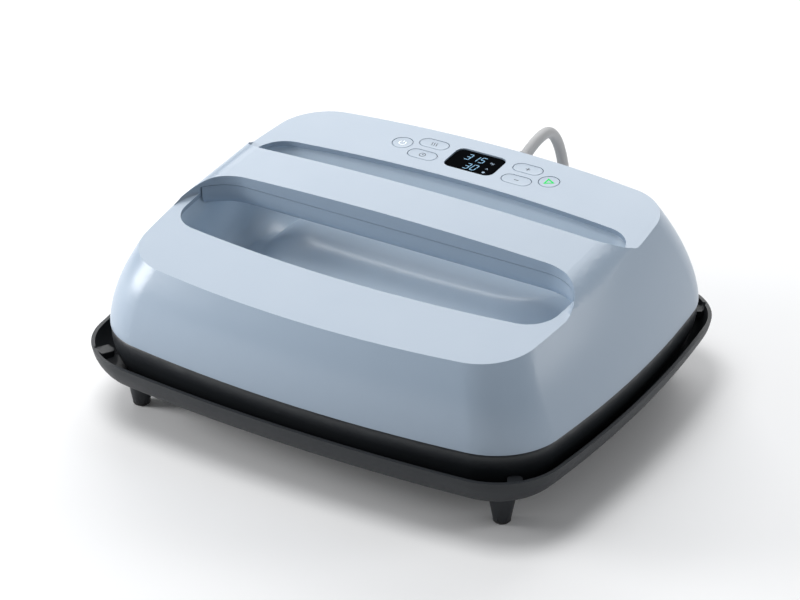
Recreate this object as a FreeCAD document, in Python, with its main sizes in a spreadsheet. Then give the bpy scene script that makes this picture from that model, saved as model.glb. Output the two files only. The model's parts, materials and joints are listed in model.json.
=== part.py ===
import FreeCAD, Part
import math
import os

import Sketcher
from FreeCAD import Matrix, Placement, Rotation, Vector

# A flat craft heat press standing in its safety base.
# Millimetres. X runs to the right, Y to the back, Z up. The origin is on the ground under the middle of the base.

os.makedirs("parts", exist_ok=True)
doc = FreeCAD.newDocument("HeatPress")

# Driving dimensions. Insets are measured inwards from an outline, reaches outwards from the middle.

SIZES = [
    ("rim_side_margin", 8.3, "base rim beyond the blue edge, at the sides"),
    ("rim_end_margin", 6.3, "base rim beyond the blue edge, front and back"),
    ("rim_front_radius", 1237.0, "bow of the base rim's front and back"),
    ("rim_side_radius", 804.0, "bow of the base rim's sides"),
    ("rim_corner_radius", 46.5, "base rim corner"),
    ("rim_level", 44.0, "top of the base rim"),
    ("tray_wall", 2.4, "wall of the base"),
    ("tray_floor", 2.4, "floor of the base"),
    ("tray_tuck", 18.4, "how far the base's underside is tucked in below its rim"),
    ("foot_height", 22.0, "underside of the base above the ground"),
    ("foot_side_inset", 40.3, "foot centre inside the rim's sides"),
    ("foot_end_inset", 40.1, "foot centre inside the rim's front and back"),
    ("foot_tip_radius", 5.5, "foot at the ground"),
    ("foot_root_radius", 9.2, "foot at the base"),
    ("foot_flare", 4.2, "fillet where the foot meets the base"),
    ("foot_pad_height", 2.0, "rubber tip of a foot"),
    ("nub_width", 9.0, "corner locating nub, along the rim"),
    ("nub_height", 4.5, "corner locating nub, upright"),
    ("nub_level", 38.5, "corner locating nub, middle"),
    ("nub_clearance", 0.6, "nub to skirt"),
    ("mat_thickness", 1.4, "insulating mat"),
    ("mat_inset", 3.0, "insulating mat's edge inside the hot plate's"),
    ("press_offset", 3.1, "how far behind the base's middle the press stands"),
    ("seat_gap", 0.3, "hot plate above its mat"),
    ("edge_half_width", 162.3, "blue shell's lower edge, across"),
    ("edge_half_depth", 137.2, "blue shell's lower edge, front to back"),
    ("edge_front_radius", 879.0, "bow of the lower edge's front and back"),
    ("edge_side_radius", 727.0, "bow of the lower edge's sides"),
    ("edge_corner_radius", 45.4, "lower edge corner"),
    ("edge_level", 55.4, "lower edge above the ground"),
    ("side_lean", 20.7, "roof outline inside the lower edge, at the sides"),
    ("front_lean", 13.4, "roof outline inside the lower edge, at the front"),
    ("rear_lean", 28.2, "roof outline inside the lower edge, at the back"),
    ("roof_front_radius", 719.0, "bow of the roof outline's front and back"),
    ("roof_side_radius", 660.0, "bow of the roof outline's sides"),
    ("roof_corner_radius", 36.7, "roof outline corner"),
    ("roof_level", 115.7, "roof above the ground at the origin's Y"),
    ("front_slope", 0.080, "fall of the front band, mm per mm"),
    ("rear_slope", 0.061, "rise of the rear panel, mm per mm"),
    ("side_bulge", 1.5, "power of the side walls' curve"),
    ("front_bulge", 3.1, "power of the front wall's curve"),
    ("rear_bulge", 1.6, "power of the rear wall's curve"),
    ("shell_wall", 2.8, "wall of the blue shell"),
    ("roof_wall", 3.0, "roof of the blue shell"),
    ("crown_height", 12.8, "handle top over the roof, in the middle"),
    ("shoulder_height", 10.4, "handle top over the roof, at its shoulders"),
    ("shoulder_setback", 29.6, "from the roof's side to where the shoulder is measured"),
    ("shoulder_radius", 24.0, "roll of the handle's shoulder into the side wall"),
    ("shoulder_lean", 27.0, "lean of the side wall under the shoulder, degrees"),
    ("handle_front_reach", 16.5, "handle's front edge"),
    ("handle_rear_reach", 20.0, "handle's rear edge"),
    ("front_flare_radius", 33.0, "flare of the handle's front edge at its ends"),
    ("rear_flare_radius", 20.0, "flare of the handle's rear edge at its ends"),
    ("handle_wall", 2.6, "wall of both handle halves"),
    ("seam_drop", 6.6, "handle's seam below its top edge"),
    ("seam_gap", 0.3, "seam between the handle halves"),
    ("handle_depth", 14.6, "lower handle half, seam to underside"),
    ("handle_round", 8.5, "rounding of the handle's underside"),
    ("handle_screw_spacing", 62.0, "between handle screws"),
    ("mouth_end_margin", 7.4, "roof beside the grip opening"),
    ("front_band", 49.5, "roof ahead of the grip opening"),
    ("rear_band", 48.7, "roof behind the grip opening"),
    ("mouth_front_radius", 900.0, "bow of the opening's front and back"),
    ("mouth_side_radius", 900.0, "bow of the opening's ends"),
    ("mouth_corner_radius", 21.0, "opening's corners"),
    ("lip_reveal", 0.8, "shell's lip over the well"),
    ("well_floor", 62.0, "deepest level of the well"),
    ("well_round", 16.0, "rounding between the well's walls and floor"),
    ("well_draft", 0.05, "lean of the well's front and end walls"),
    ("well_rear_draft", 0.34, "lean of the well's rear wall"),
    ("well_wall", 2.4, "wall of the well"),
    ("flange_width", 5.2, "well's flange under the roof"),
    ("flange_clearance", 0.3, "flange to the shell's walls"),
    ("mound_height", 15.6, "mound over the well's floor"),
    ("mound_end_gap", 12.2, "mound's foot inside the opening's ends"),
    ("mound_front_gap", 40.3, "mound's foot behind the opening's front"),
    ("mound_side_run", 30.0, "run of the mound's ends"),
    ("mound_front_run", 42.0, "run of the mound's front"),
    ("mound_corner_radius", 40.0, "mound's corners"),
    ("skirt_level", 31.5, "lower edge of the skirt"),
    ("skirt_step", 1.0, "skirt set back from the blue edge"),
    ("skirt_taper", 4.4, "skirt drawn in at its lower edge"),
    ("skirt_wall", 2.4, "wall of the skirt"),
    ("tongue_height", 5.6, "skirt's tongue inside the shell"),
    ("tongue_clearance", 0.25, "tongue to shell, at its foot"),
    ("tongue_lean", 0.7, "room for the shell's lean beside the tongue"),
    ("plate_gap", 2.0, "skirt to hot plate"),
    ("plate_thickness", 7.4, "hot plate"),
    ("element_radius", 3.3, "heating rod"),
    ("element_pitch", 48.0, "between passes of the rod"),
    ("element_margin", 16.1, "rod's half turns inside the plate's edge"),
    ("element_rise_radius", 10.0, "bend where the rod turns up"),
    ("element_fit", 0.12, "rod to its groove"),
    ("soft_gap", 0.3, "lay of the blanket and shield"),
    ("blanket_thickness", 4.6, "insulation blanket"),
    ("blanket_inset", 9.5, "blanket's edge inside the plate's"),
    ("shield_thickness", 0.8, "heat shield"),
    ("chassis_level", 46.0, "underside of the chassis"),
    ("chassis_thickness", 2.5, "chassis"),
    ("chassis_clearance", 0.5, "chassis to skirt"),
    ("ledge_width", 8.6, "ledge in the skirt, for the chassis"),
    ("ledge_thickness", 2.4, "ledge in the skirt"),
    ("standoff_radius", 4.5, "plate standoff"),
    ("standoff_setback", 18.0, "plate standoffs short of the rod's half turns"),
    ("screw_radius", 1.5, "machine screw"),
    ("screw_head_radius", 3.4, "screw head"),
    ("screw_head_height", 2.4, "screw head"),
    ("screw_bite", 12.0, "screw in its boss"),
    ("screw_fit", 0.06, "screw to its threaded bore"),
    ("through_clearance", 0.4, "screw to a plain hole"),
    ("hole_margin", 1.2, "holes in the blanket and shield"),
    ("boss_radius", 4.4, "screw bosses"),
    ("boss_inset", 12.0, "housing bosses from the lower edge"),
    ("boss_height", 21.5, "housing bosses over the chassis"),
    ("boss_rib", 2.4, "rib of a housing boss"),
    ("boss_rib_bury", 0.5, "rib's end inside the shell's wall"),
    ("side_boss_reach", 60.0, "side bosses, front to back"),
    ("end_boss_reach", 80.0, "front and rear bosses, across"),
    ("cutoff_radius", 7.5, "thermal cutoff"),
    ("cutoff_height", 7.8, "thermal cutoff"),
    ("sensor_radius", 4.0, "temperature sensor"),
    ("sensor_height", 6.0, "temperature sensor"),
    ("sensor_reach_y", 24.0, "temperature sensor from the middle"),
    ("bush_radius", 6.4, "ceramic terminal bush"),
    ("bush_flange", 2.2, "flange of a terminal bush"),
    ("terminal_rise", 9.0, "rod above its bush"),
    ("board_thickness", 1.6, "circuit boards"),
    ("board_rise", 5.5, "power board over the chassis"),
    ("power_board_width", 140.0, "power board"),
    ("power_board_depth", 44.0, "power board"),
    ("power_board_inset", 39.2, "power board's middle inside the blue edge"),
    ("power_board_margin", 10.0, "parts on the power board, from its ends"),
    ("power_part_gap", 2.5, "between parts on the power board"),
    ("board_screw_inset", 6.0, "screws inside the power board's edges"),
    ("lead_inset", 5.0, "leads inside the power board's ends"),
    ("transformer_width", 30.0, "transformer"),
    ("transformer_depth", 28.0, "transformer"),
    ("transformer_height", 24.0, "transformer"),
    ("relay_width", 17.0, "relay"),
    ("relay_depth", 16.0, "relay"),
    ("relay_height", 18.0, "relay"),
    ("terminal_width", 24.0, "terminal block"),
    ("terminal_depth", 11.0, "terminal block"),
    ("terminal_height", 13.0, "terminal block"),
    ("capacitor_radius", 8.0, "filter capacitor"),
    ("capacitor_height", 22.0, "filter capacitor"),
    ("fin_pitch", 5.0, "between the heat sink's fins"),
    ("fin_thickness", 1.6, "heat sink's fins"),
    ("fin_depth", 10.0, "heat sink"),
    ("fin_height", 26.0, "heat sink"),
    ("fin_base", 3.0, "heat sink's back"),
    ("key_row_inset", 24.3, "middle of the control panel inside the roof's back edge"),
    ("round_key_reach", 53.9, "round keys from the middle"),
    ("round_key_radius", 6.7, "round keys"),
    ("pill_reach", 34.5, "pill keys from the middle"),
    ("pill_pitch", 15.3, "between pill keys"),
    ("pill_width", 20.4, "pill keys"),
    ("pill_depth", 10.4, "pill keys"),
    ("key_gap", 0.35, "key to panel"),
    ("key_travel", 0.8, "stroke of a key"),
    ("key_collar", 1.5, "collar under a key"),
    ("key_collar_thickness", 1.2, "collar under a key"),
    ("keypad_thickness", 1.6, "rubber keypad"),
    ("keypad_width", 128.0, "rubber keypad"),
    ("keypad_depth", 30.4, "rubber keypad"),
    ("control_board_width", 156.0, "control board"),
    ("control_board_depth", 34.0, "control board"),
    ("panel_boss_reach", 71.0, "panel bosses, across"),
    ("panel_boss_row", 12.0, "panel bosses, front to back"),
    ("lens_width", 35.5, "display window"),
    ("lens_depth", 24.5, "display window"),
    ("lens_corner", 5.5, "display window"),
    ("lens_thickness", 2.2, "display window"),
    ("lens_recess", 0.8, "window below the panel"),
    ("lens_gap", 0.25, "window to panel"),
    ("module_margin", 1.0, "display module inside the window"),
    ("buzzer_radius", 6.0, "buzzer"),
    ("buzzer_height", 7.0, "buzzer"),
    ("cord_diameter", 7.6, "mains cord"),
    ("coil_gap", 0.6, "between the coil's turns"),
    ("coil_radius", 55.0, "coil's first turn"),
    ("coil_turns_in", 3.0, "turns spiralling in"),
    ("coil_turns_out", 3.125, "turns spiralling out"),
    ("coil_tail", 22.0, "straight of cord between the coil and the plug"),
    ("relief_collar_radius", 9.0, "strain relief's collars"),
    ("relief_collar", 2.2, "strain relief's collars"),
    ("relief_neck_radius", 6.2, "strain relief in the wall"),
    ("relief_taper_radius", 6.6, "strain relief's taper at the collar"),
    ("relief_tip_radius", 4.9, "strain relief's tip"),
    ("relief_taper", 14.5, "strain relief's taper"),
    ("relief_fit", 0.25, "strain relief to the wall"),
    ("cord_boss_length", 9.0, "thickened wall at the cord"),
    ("cord_boss_radius", 11.0, "thickened wall at the cord"),
    ("plug_width", 27.0, "plug"),
    ("plug_length", 34.0, "plug"),
    ("plug_corner", 7.0, "plug's corners"),
    ("plug_sleeve", 18.0, "plug's sleeve"),
    ("blade_spacing", 12.7, "between the plug's blades"),
    ("blade_width", 6.35, "plug's blades"),
    ("blade_thickness", 1.5, "plug's blades"),
    ("blade_length", 17.0, "plug's blades"),
    ("earth_pin_radius", 2.4, "plug's earth pin"),
    ("earth_pin_offset", 5.6, "plug's earth pin from its middle"),
    ("lead_radius", 2.2, "inner leads"),
    ("ribbon_width", 16.0, "panel ribbon"),
    ("ribbon_thickness", 1.0, "panel ribbon"),
]

sheet = doc.addObject("Spreadsheet::Sheet", "Sizes")
for row, (alias, value, meaning) in enumerate(SIZES, start=1):
    sheet.set(f"A{row}", meaning)
    sheet.set(f"B{row}", str(value))
    sheet.setAlias(f"B{row}", alias)
doc.recompute()


class Sizes:
    """Reads the sheet's cells by their aliases."""

    def __getattr__(self, alias):
        return float(sheet.get(alias))


S = Sizes()
subparts = {}


def keep(label, obj):
    """Names an object as a sub-part, which gets a file of its own."""
    obj.Label = label
    subparts[label] = obj
    return obj


def feature(label, shape):
    """A sub-part whose form comes from curves worked out from the sheet."""
    obj = doc.addObject("Part::Feature", label)
    obj.Shape = shape
    return keep(label, obj)


# Reaches that follow from the blue edge and its margins.

rim_half_width = S.edge_half_width + S.rim_side_margin
rim_half_depth = S.edge_half_depth + S.rim_end_margin
foot_reach_x = rim_half_width - S.foot_side_inset
foot_reach_y = rim_half_depth - S.foot_end_inset
roof_half_width = S.edge_half_width - S.side_lean
roof_front_reach = S.edge_half_depth - S.front_lean
roof_rear_reach = S.edge_half_depth - S.rear_lean
mouth_half_width = roof_half_width - S.mouth_end_margin
mouth_front_reach = roof_front_reach - S.front_band
mouth_rear_reach = roof_rear_reach - S.rear_band
shoulder_reach = roof_half_width - S.shoulder_setback
key_row = roof_rear_reach - S.key_row_inset
power_board_row = S.edge_half_depth - S.power_board_inset

# Bowed outlines: four gently bowed sides joined by tangent corner arcs.


def corner_centre(side_radius, side_centre, end_radius, end_centre, corner_radius):
    """Centre of the arc that is tangent inside a side arc and an end arc, in the quadrant towards +X and away from the end's centre."""
    reach_side = side_radius - corner_radius
    reach_end = end_radius - corner_radius
    line = end_centre - side_centre
    span = line.Length
    along = (reach_side**2 - reach_end**2 + span**2) / (2 * span)
    across = math.sqrt(max(reach_side**2 - along**2, 0.0))
    unit = line.normalize()
    foot = side_centre + unit * along
    normal = Vector(unit.y, -unit.x, 0) * across
    return max((foot + normal, foot - normal), key=lambda p: p.x)


def bowed_outline(half_width, front, rear, end_radius, side_radius, corner_radius):
    """The eight edges of an outline that reaches from y=front to y=rear, from the front arc round to the left."""
    middle = (front + rear) / 2
    side_centre = Vector(half_width - side_radius, middle, 0)
    front_centre = Vector(0, front + end_radius, 0)
    rear_centre = Vector(0, rear - end_radius, 0)
    low = corner_centre(side_radius, side_centre, end_radius, front_centre, corner_radius)
    high = corner_centre(side_radius, side_centre, end_radius, rear_centre, corner_radius)

    def touch(centre, other):
        return centre + (centre - other).normalize() * corner_radius

    def swell(centre, first, second):
        return centre + ((first - centre) + (second - centre)).normalize() * corner_radius

    def mirrored(point):
        return Vector(-point.x, point.y, point.z)

    a, b = touch(low, front_centre), touch(low, side_centre)
    c, d = touch(high, side_centre), touch(high, rear_centre)
    low_mid, high_mid = swell(low, a, b), swell(high, c, d)
    arcs = [
        (mirrored(a), Vector(0, front, 0), a),
        (a, low_mid, b),
        (b, Vector(half_width, middle, 0), c),
        (c, high_mid, d),
        (d, Vector(0, rear, 0), mirrored(d)),
        (mirrored(d), mirrored(high_mid), mirrored(c)),
        (mirrored(c), Vector(-half_width, middle, 0), mirrored(b)),
        (mirrored(b), mirrored(low_mid), mirrored(a)),
    ]
    return arcs


def wire_of(arcs, level=0.0, slope=0.0):
    """A wire of an outline's arcs, laid in the plane z = level + slope * y, seen square from above."""
    lift = Matrix(1, 0, 0, 0, 0, 1, 0, 0, 0, slope, 1, level, 0, 0, 0, 1)
    wire = Part.Wire([Part.Arc(*arc).toShape() for arc in arcs])
    if slope == 0.0:
        wire.translate(Vector(0, 0, level))
        return wire
    return wire.transformGeometry(lift)


def rim_outline(inset):
    return bowed_outline(
        rim_half_width - inset,
        -rim_half_depth + inset,
        rim_half_depth - inset,
        S.rim_front_radius - inset,
        S.rim_side_radius - inset,
        S.rim_corner_radius - inset,
    )


def footprint(inset):
    """The blue shell's lower edge, drawn in by inset on all sides."""
    return bowed_outline(
        S.edge_half_width - inset,
        -S.edge_half_depth + inset,
        S.edge_half_depth - inset,
        S.edge_front_radius - inset,
        S.edge_side_radius - inset,
        S.edge_corner_radius - inset,
    )


def mouth_outline(side_inset, front_inset, rear_inset):
    return bowed_outline(
        mouth_half_width - side_inset,
        -mouth_front_reach + front_inset,
        mouth_rear_reach - rear_inset,
        S.mouth_front_radius,
        S.mouth_side_radius,
        S.mouth_corner_radius - min(side_inset, 0.0) / 2,
    )


def prism(arcs, bottom, top):
    return Part.Face(wire_of(arcs, bottom)).extrude(Vector(0, 0, top - bottom))


def loft(wires):
    return Part.makeLoft(wires, True, False)


def ring(outer, inner, bottom, top):
    return prism(outer, bottom, top).cut(prism(inner, bottom, top))


# Levels that follow from the sheet.

tray_top = S.foot_height + S.tray_floor
mat_top = tray_top + S.mat_thickness
plate_bottom = mat_top + S.seat_gap
plate_top = plate_bottom + S.plate_thickness
plate_inset = S.skirt_step + S.skirt_taper + S.skirt_wall + S.plate_gap
blanket_bottom = plate_top + S.element_radius + S.soft_gap
blanket_top = blanket_bottom + S.blanket_thickness
shield_bottom = blanket_top + S.soft_gap
shield_top = shield_bottom + S.shield_thickness
chassis_top = S.chassis_level + S.chassis_thickness
ledge_bottom = S.chassis_level - S.ledge_thickness
board_bottom = chassis_top + S.board_rise
board_top = board_bottom + S.board_thickness
FAR = 400.0


def front_roof(y):
    return S.roof_level + S.front_slope * y


def rear_roof(y):
    return S.roof_level + S.rear_slope * y


def under_roof(drop):
    """Everything below the roof's two planes, lowered by drop."""
    points = [
        Vector(-FAR, -FAR, 0),
        Vector(-FAR, FAR, 0),
        Vector(-FAR, FAR, rear_roof(FAR) - drop),
        Vector(-FAR, 0, S.roof_level - drop),
        Vector(-FAR, -FAR, front_roof(-FAR) - drop),
    ]
    return Part.Face(Part.makePolygon(points + points[:1])).extrude(Vector(2 * FAR, 0, 0))


# Blue shell. Its walls are a loft from the lower edge to the roof outline and on a little above it.

roof_slope = (S.front_slope + S.rear_slope) / 2
WALL_STATIONS = (0.0, 0.22, 0.45, 0.7, 1.0, 1.25)


def wall_section(share, inset):
    """The walls' outline at a share of the way from the lower edge to the roof."""
    side = share**S.side_bulge
    front = share**S.front_bulge
    rear = share**S.rear_bulge
    bow = min(share, 1.0)
    arcs = bowed_outline(
        S.edge_half_width + (roof_half_width - S.edge_half_width) * side - inset,
        -S.edge_half_depth - (roof_front_reach - S.edge_half_depth) * front + inset,
        S.edge_half_depth + (roof_rear_reach - S.edge_half_depth) * rear - inset,
        S.edge_front_radius + (S.roof_front_radius - S.edge_front_radius) * bow - inset,
        S.edge_side_radius + (S.roof_side_radius - S.edge_side_radius) * bow - inset,
        S.edge_corner_radius + (S.roof_corner_radius - S.edge_corner_radius) * bow - inset,
    )
    level = S.edge_level + (S.roof_level - S.edge_level) * share
    return wire_of(arcs, level, roof_slope * share)


def walls(inset):
    return loft([wall_section(share, inset) for share in WALL_STATIONS])


def arch_profile(drop):
    """The handle's arch seen from the front: a shallow crown whose shoulders roll into leaning flanks."""
    lean = math.radians(S.shoulder_lean)
    fall = S.crown_height - S.shoulder_height
    crown_radius = (shoulder_reach**2 + fall**2) / (2 * fall)
    crown_centre = S.roof_level + S.crown_height - crown_radius
    reach = crown_radius - S.shoulder_radius
    flank = roof_half_width * math.cos(lean) + S.roof_level * math.sin(lean) - S.shoulder_radius
    # the roll's centre lies on both: flank distance, and reach from the crown's centre
    offset = flank - crown_centre * math.sin(lean)
    along = math.sqrt(reach**2 - offset**2)
    centre = Vector(
        offset * math.cos(lean) - along * math.sin(lean),
        0,
        crown_centre + offset * math.sin(lean) + along * math.cos(lean),
    )
    radius = S.shoulder_radius - drop
    crown = Vector(0, 0, crown_centre)
    outward = (centre - crown).normalize()
    leaning = Vector(math.cos(lean), 0, math.sin(lean))
    top = centre + outward * radius
    side = centre + leaning * radius
    middle = centre + (outward + leaning).normalize() * radius
    foot = side + Vector(math.sin(lean), 0, -math.cos(lean)) * FAR / 4
    right = [top, middle, side, foot]
    left = [Vector(-p.x, 0, p.z) for p in right]
    edges = [
        Part.Arc(left[0], Vector(0, 0, crown_centre + crown_radius - drop), right[0]).toShape(),
        Part.Arc(right[0], right[1], right[2]).toShape(),
        Part.makeLine(right[2], right[3]),
        Part.makeLine(right[3], left[3]),
        Part.makeLine(left[3], left[2]),
        Part.Arc(left[2], left[1], left[0]).toShape(),
    ]
    return Part.Wire(edges)


def arch(drop):
    face = Part.Face(arch_profile(drop))
    along = Vector(0, 1, roof_slope)
    face.translate(along * -FAR)
    return face.extrude(along * 2 * FAR)


def roof_side(y):
    """Half width of the roof outline at y."""
    middle = (roof_rear_reach - roof_front_reach) / 2
    return roof_half_width - S.roof_side_radius + math.sqrt(S.roof_side_radius**2 - (y - middle) ** 2)


front_flare_y = -S.handle_front_reach - S.front_flare_radius
rear_flare_y = S.handle_rear_reach + S.rear_flare_radius
front_flare_x = roof_side(front_flare_y) - S.front_flare_radius
rear_flare_x = roof_side(rear_flare_y) - S.rear_flare_radius


def flare_arc(centre_x, centre_y, radius, sense):
    """A quarter arc from the outline's side to the handle's long edge. sense is 1 towards the back, -1 towards the front."""
    diagonal = radius * math.sqrt(0.5)
    return (
        Vector(centre_x + radius, centre_y, 0),
        Vector(centre_x + diagonal, centre_y + sense * diagonal, 0),
        Vector(centre_x, centre_y + sense * radius, 0),
    )


def flipped(arc):
    return tuple(Vector(-p.x, p.y, p.z) for p in reversed(arc))


def facet(flare_x, flare_y, flare_radius, sense):
    """Plan of the flat roof on one side of the handle, from the handle's edge outwards."""
    right = flare_arc(flare_x, flare_y, flare_radius, sense)
    left = flipped(right)
    far_y = -sense * FAR
    edges = [
        Part.makeLine(Vector(-FAR, far_y, 0), Vector(FAR, far_y, 0)),
        Part.makeLine(Vector(FAR, far_y, 0), Vector(FAR, flare_y, 0)),
        Part.makeLine(Vector(FAR, flare_y, 0), right[0]),
        Part.Arc(*right).toShape(),
        Part.makeLine(right[2], left[0]),
        Part.Arc(*left).toShape(),
        Part.makeLine(left[2], Vector(-FAR, flare_y, 0)),
        Part.makeLine(Vector(-FAR, flare_y, 0), Vector(-FAR, far_y, 0)),
    ]
    return Part.Face(Part.Wire(edges)).extrude(Vector(0, 0, FAR))


facets = facet(front_flare_x, front_flare_y, S.front_flare_radius, 1).fuse(
    facet(rear_flare_x, rear_flare_y, S.rear_flare_radius, -1)
)
outer_form = walls(0.0).common(arch(0.0)).cut(facets.cut(under_roof(0.0)))
inner_form = walls(S.shell_wall).common(under_roof(S.roof_wall))
skin = outer_form.cut(inner_form)

seam_level = S.roof_level + S.shoulder_height - S.seam_drop
mouth = prism(mouth_outline(0, 0, 0), S.well_floor, FAR / 2)


def seam_slab(low, high):
    """A slab that follows the handle's seam, between two heights over it."""
    along = Vector(0, 1, roof_slope)
    points = [
        Vector(-FAR, 0, seam_level + low),
        Vector(FAR, 0, seam_level + low),
        Vector(FAR, 0, seam_level + high),
        Vector(-FAR, 0, seam_level + high),
    ]
    face = Part.Face(Part.makePolygon(points + points[:1]))
    face.translate(along * -FAR)
    return face.extrude(along * 2 * FAR)


def handle_outline(inset, level):
    """Plan of the handle between its two long edges, drawn in by inset, at a level that follows its slope."""
    front_radius = S.front_flare_radius + inset
    rear_radius = S.rear_flare_radius + inset
    front = flare_arc(front_flare_x, front_flare_y, front_radius, 1)
    rear = flare_arc(rear_flare_x, rear_flare_y, rear_radius, -1)
    end_x = max(front[0].x, rear[0].x) + 1.0
    corner_front = Vector(end_x, front[0].y, 0)
    corner_rear = Vector(end_x, rear[0].y, 0)

    def mirror(point):
        return Vector(-point.x, point.y, 0)

    edges = [
        Part.makeLine(mirror(front[2]), front[2]),
        Part.Arc(*reversed(front)).toShape(),
        Part.makeLine(front[0], corner_front),
        Part.makeLine(corner_front, corner_rear),
        Part.makeLine(corner_rear, rear[0]),
        Part.Arc(*rear).toShape(),
        Part.makeLine(rear[2], mirror(rear[2])),
        Part.Arc(*[mirror(p) for p in reversed(rear)]).toShape(),
        Part.makeLine(mirror(rear[0]), mirror(corner_rear)),
        Part.makeLine(mirror(corner_rear), mirror(corner_front)),
        Part.makeLine(mirror(corner_front), mirror(front[0])),
        Part.Arc(*[mirror(p) for p in front]).toShape(),
    ]
    lift = Matrix(1, 0, 0, 0, 0, 1, 0, 0, 0, roof_slope, 1, level, 0, 0, 0, 1)
    return Part.Wire(edges).transformGeometry(lift)


ROUND_STEPS = (0.0, 30.0, 60.0, 90.0)


def handle_trough(inset, drop):
    """Solid of the lower handle half: straight sides and a rounded underside."""
    underside = seam_level - S.seam_gap - S.handle_depth + drop
    radius = S.handle_round - drop
    wires = [handle_outline(inset, seam_level - S.seam_gap + drop * 2)]
    for angle in ROUND_STEPS:
        turn = math.radians(angle)
        tuck = radius * (1 - math.cos(turn)) * 0.9
        wires.append(handle_outline(inset + tuck, underside + radius * (1 - math.sin(turn))))
    return loft(wires)


screw_rows = [S.handle_screw_spacing * step for step in (-1.5, -0.5, 0.5, 1.5)]
handle_middle = (S.handle_rear_reach - S.handle_front_reach) / 2
screw_seat = seam_level - S.handle_depth + 6.0
handle_bore = S.screw_radius + S.screw_fit
shell_under_handle = arch(S.handle_wall).common(mouth).cut(facets)
hollow_sides = loft(
    [handle_outline(S.handle_wall, seam_level - S.roof_wall * 2), handle_outline(S.handle_wall, FAR / 2)]
)


def column(x, y, radius, bottom, top):
    return Part.makeCylinder(radius, top - bottom, Vector(x, y, bottom))


handle_hollow = shell_under_handle.common(hollow_sides)
for x in screw_rows:
    handle_hollow = handle_hollow.cut(column(x, handle_middle, S.boss_radius, seam_level, FAR / 2))
mouth_cut = mouth.common(facets).fuse(mouth.cut(facets).cut(seam_slab(0.0, FAR / 2)))
shell = skin.cut(mouth_cut).cut(handle_hollow)
for x in screw_rows:
    shell = shell.cut(column(x, handle_middle, handle_bore, seam_level - 1, seam_level + S.screw_bite / 2))

# Bosses inside the shell: for the chassis screws, the control board and the cord.


def bow_drop(radius, along):
    return radius - math.sqrt(radius**2 - along**2)


side_boss_x = S.edge_half_width - S.boss_inset - bow_drop(S.edge_side_radius, S.side_boss_reach)
end_boss_y = S.edge_half_depth - S.boss_inset - bow_drop(S.edge_front_radius, S.end_boss_reach)
housing_bosses = [
    (sx * side_boss_x, sy * S.side_boss_reach, Vector(sx, 0, 0)) for sx in (-1, 1) for sy in (-1, 1)
] + [(sx * S.end_boss_reach, sy * end_boss_y, Vector(0, sy, 0)) for sx in (-1, 1) for sy in (-1, 1)]
rib_bottom = S.edge_level + S.tongue_height + S.soft_gap
rib_height = S.screw_bite / 2
boss_top = chassis_top + S.boss_height


def boss_rib_box(x, y, outward):
    """A rib from a boss to the wall behind it."""
    reach = S.boss_inset - S.shell_wall + S.boss_rib_bury
    size = Vector(
        reach if outward.x else S.boss_rib,
        reach if outward.y else S.boss_rib,
        rib_height,
    )
    centre = Vector(x, y, rib_bottom) + outward * (reach / 2)
    return Part.makeBox(size.x, size.y, size.z, centre - Vector(size.x / 2, size.y / 2, 0))


for x, y, outward in housing_bosses:
    shell = shell.fuse(column(x, y, S.boss_radius, chassis_top, boss_top).fuse(boss_rib_box(x, y, outward)))
for x, y, outward in housing_bosses:
    shell = shell.cut(column(x, y, S.screw_radius + S.screw_fit, chassis_top, chassis_top + S.screw_bite + 1))

# The control panel's frame: its middle is on the panel's face, and its Z is square to the panel.

panel_tilt = math.degrees(math.atan(S.rear_slope))
panel = Placement(Vector(0, key_row, rear_roof(key_row)), Rotation(Vector(1, 0, 0), panel_tilt))
board_face = -S.roof_wall - S.key_gap - S.key_collar_thickness - S.key_travel - 0.3 - S.keypad_thickness
lens_bottom = -S.lens_recess - S.lens_thickness


def on_panel(shape):
    shape.Placement = panel.multiply(shape.Placement)
    return shape


def rounded_plate(width, depth, corner, bottom, top, x=0.0, y=0.0):
    """A plate with round corners, centred at x, y."""
    box = Part.makeBox(width, depth, top - bottom, Vector(x - width / 2, y - depth / 2, bottom))
    upright = [e for e in box.Edges if abs(e.tangentAt(e.FirstParameter).z) > 0.9]
    return box.makeFillet(corner, upright)


round_keys = {"power_button": -S.round_key_reach, "start_button": S.round_key_reach}
pill_keys = {
    "heat_button": (-S.pill_reach, S.pill_pitch / 2),
    "timer_button": (-S.pill_reach, -S.pill_pitch / 2),
    "plus_button": (S.pill_reach, S.pill_pitch / 2),
    "minus_button": (S.pill_reach, -S.pill_pitch / 2),
}


def round_key(x, margin, bottom, top):
    return column(x, 0, S.round_key_radius + margin, bottom, top)


def pill_key(x, y, margin, bottom, top):
    width = S.pill_width + 2 * margin
    depth = S.pill_depth + 2 * margin
    return rounded_plate(width, depth, depth / 2 - 0.01, bottom, top, x, y)


panel_bosses = [
    (sx * S.panel_boss_reach, sy * S.panel_boss_row) for sx in (-1, 1) for sy in (-1, 1)
]
openings = rounded_plate(
    S.lens_width + 2 * S.lens_gap,
    S.lens_depth + 2 * S.lens_gap,
    S.lens_corner + S.lens_gap,
    -S.roof_wall * 2,
    S.roof_wall,
)
for x in round_keys.values():
    openings = openings.fuse(round_key(x, S.key_gap, -S.roof_wall * 2, S.roof_wall))
for x, y in pill_keys.values():
    openings = openings.fuse(pill_key(x, y, S.key_gap, -S.roof_wall * 2, S.roof_wall))
shell = shell.cut(on_panel(openings))
for x, y in panel_bosses:
    shell = shell.fuse(on_panel(column(x, y, S.boss_radius, board_face, -S.roof_wall / 2)))
for x, y in panel_bosses:
    shell = shell.cut(on_panel(column(x, y, S.screw_radius + S.screw_fit, board_face, -S.roof_wall - 0.2)))

# Cord: its route leaves the rear wall, arches over and lies down behind the base.

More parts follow.
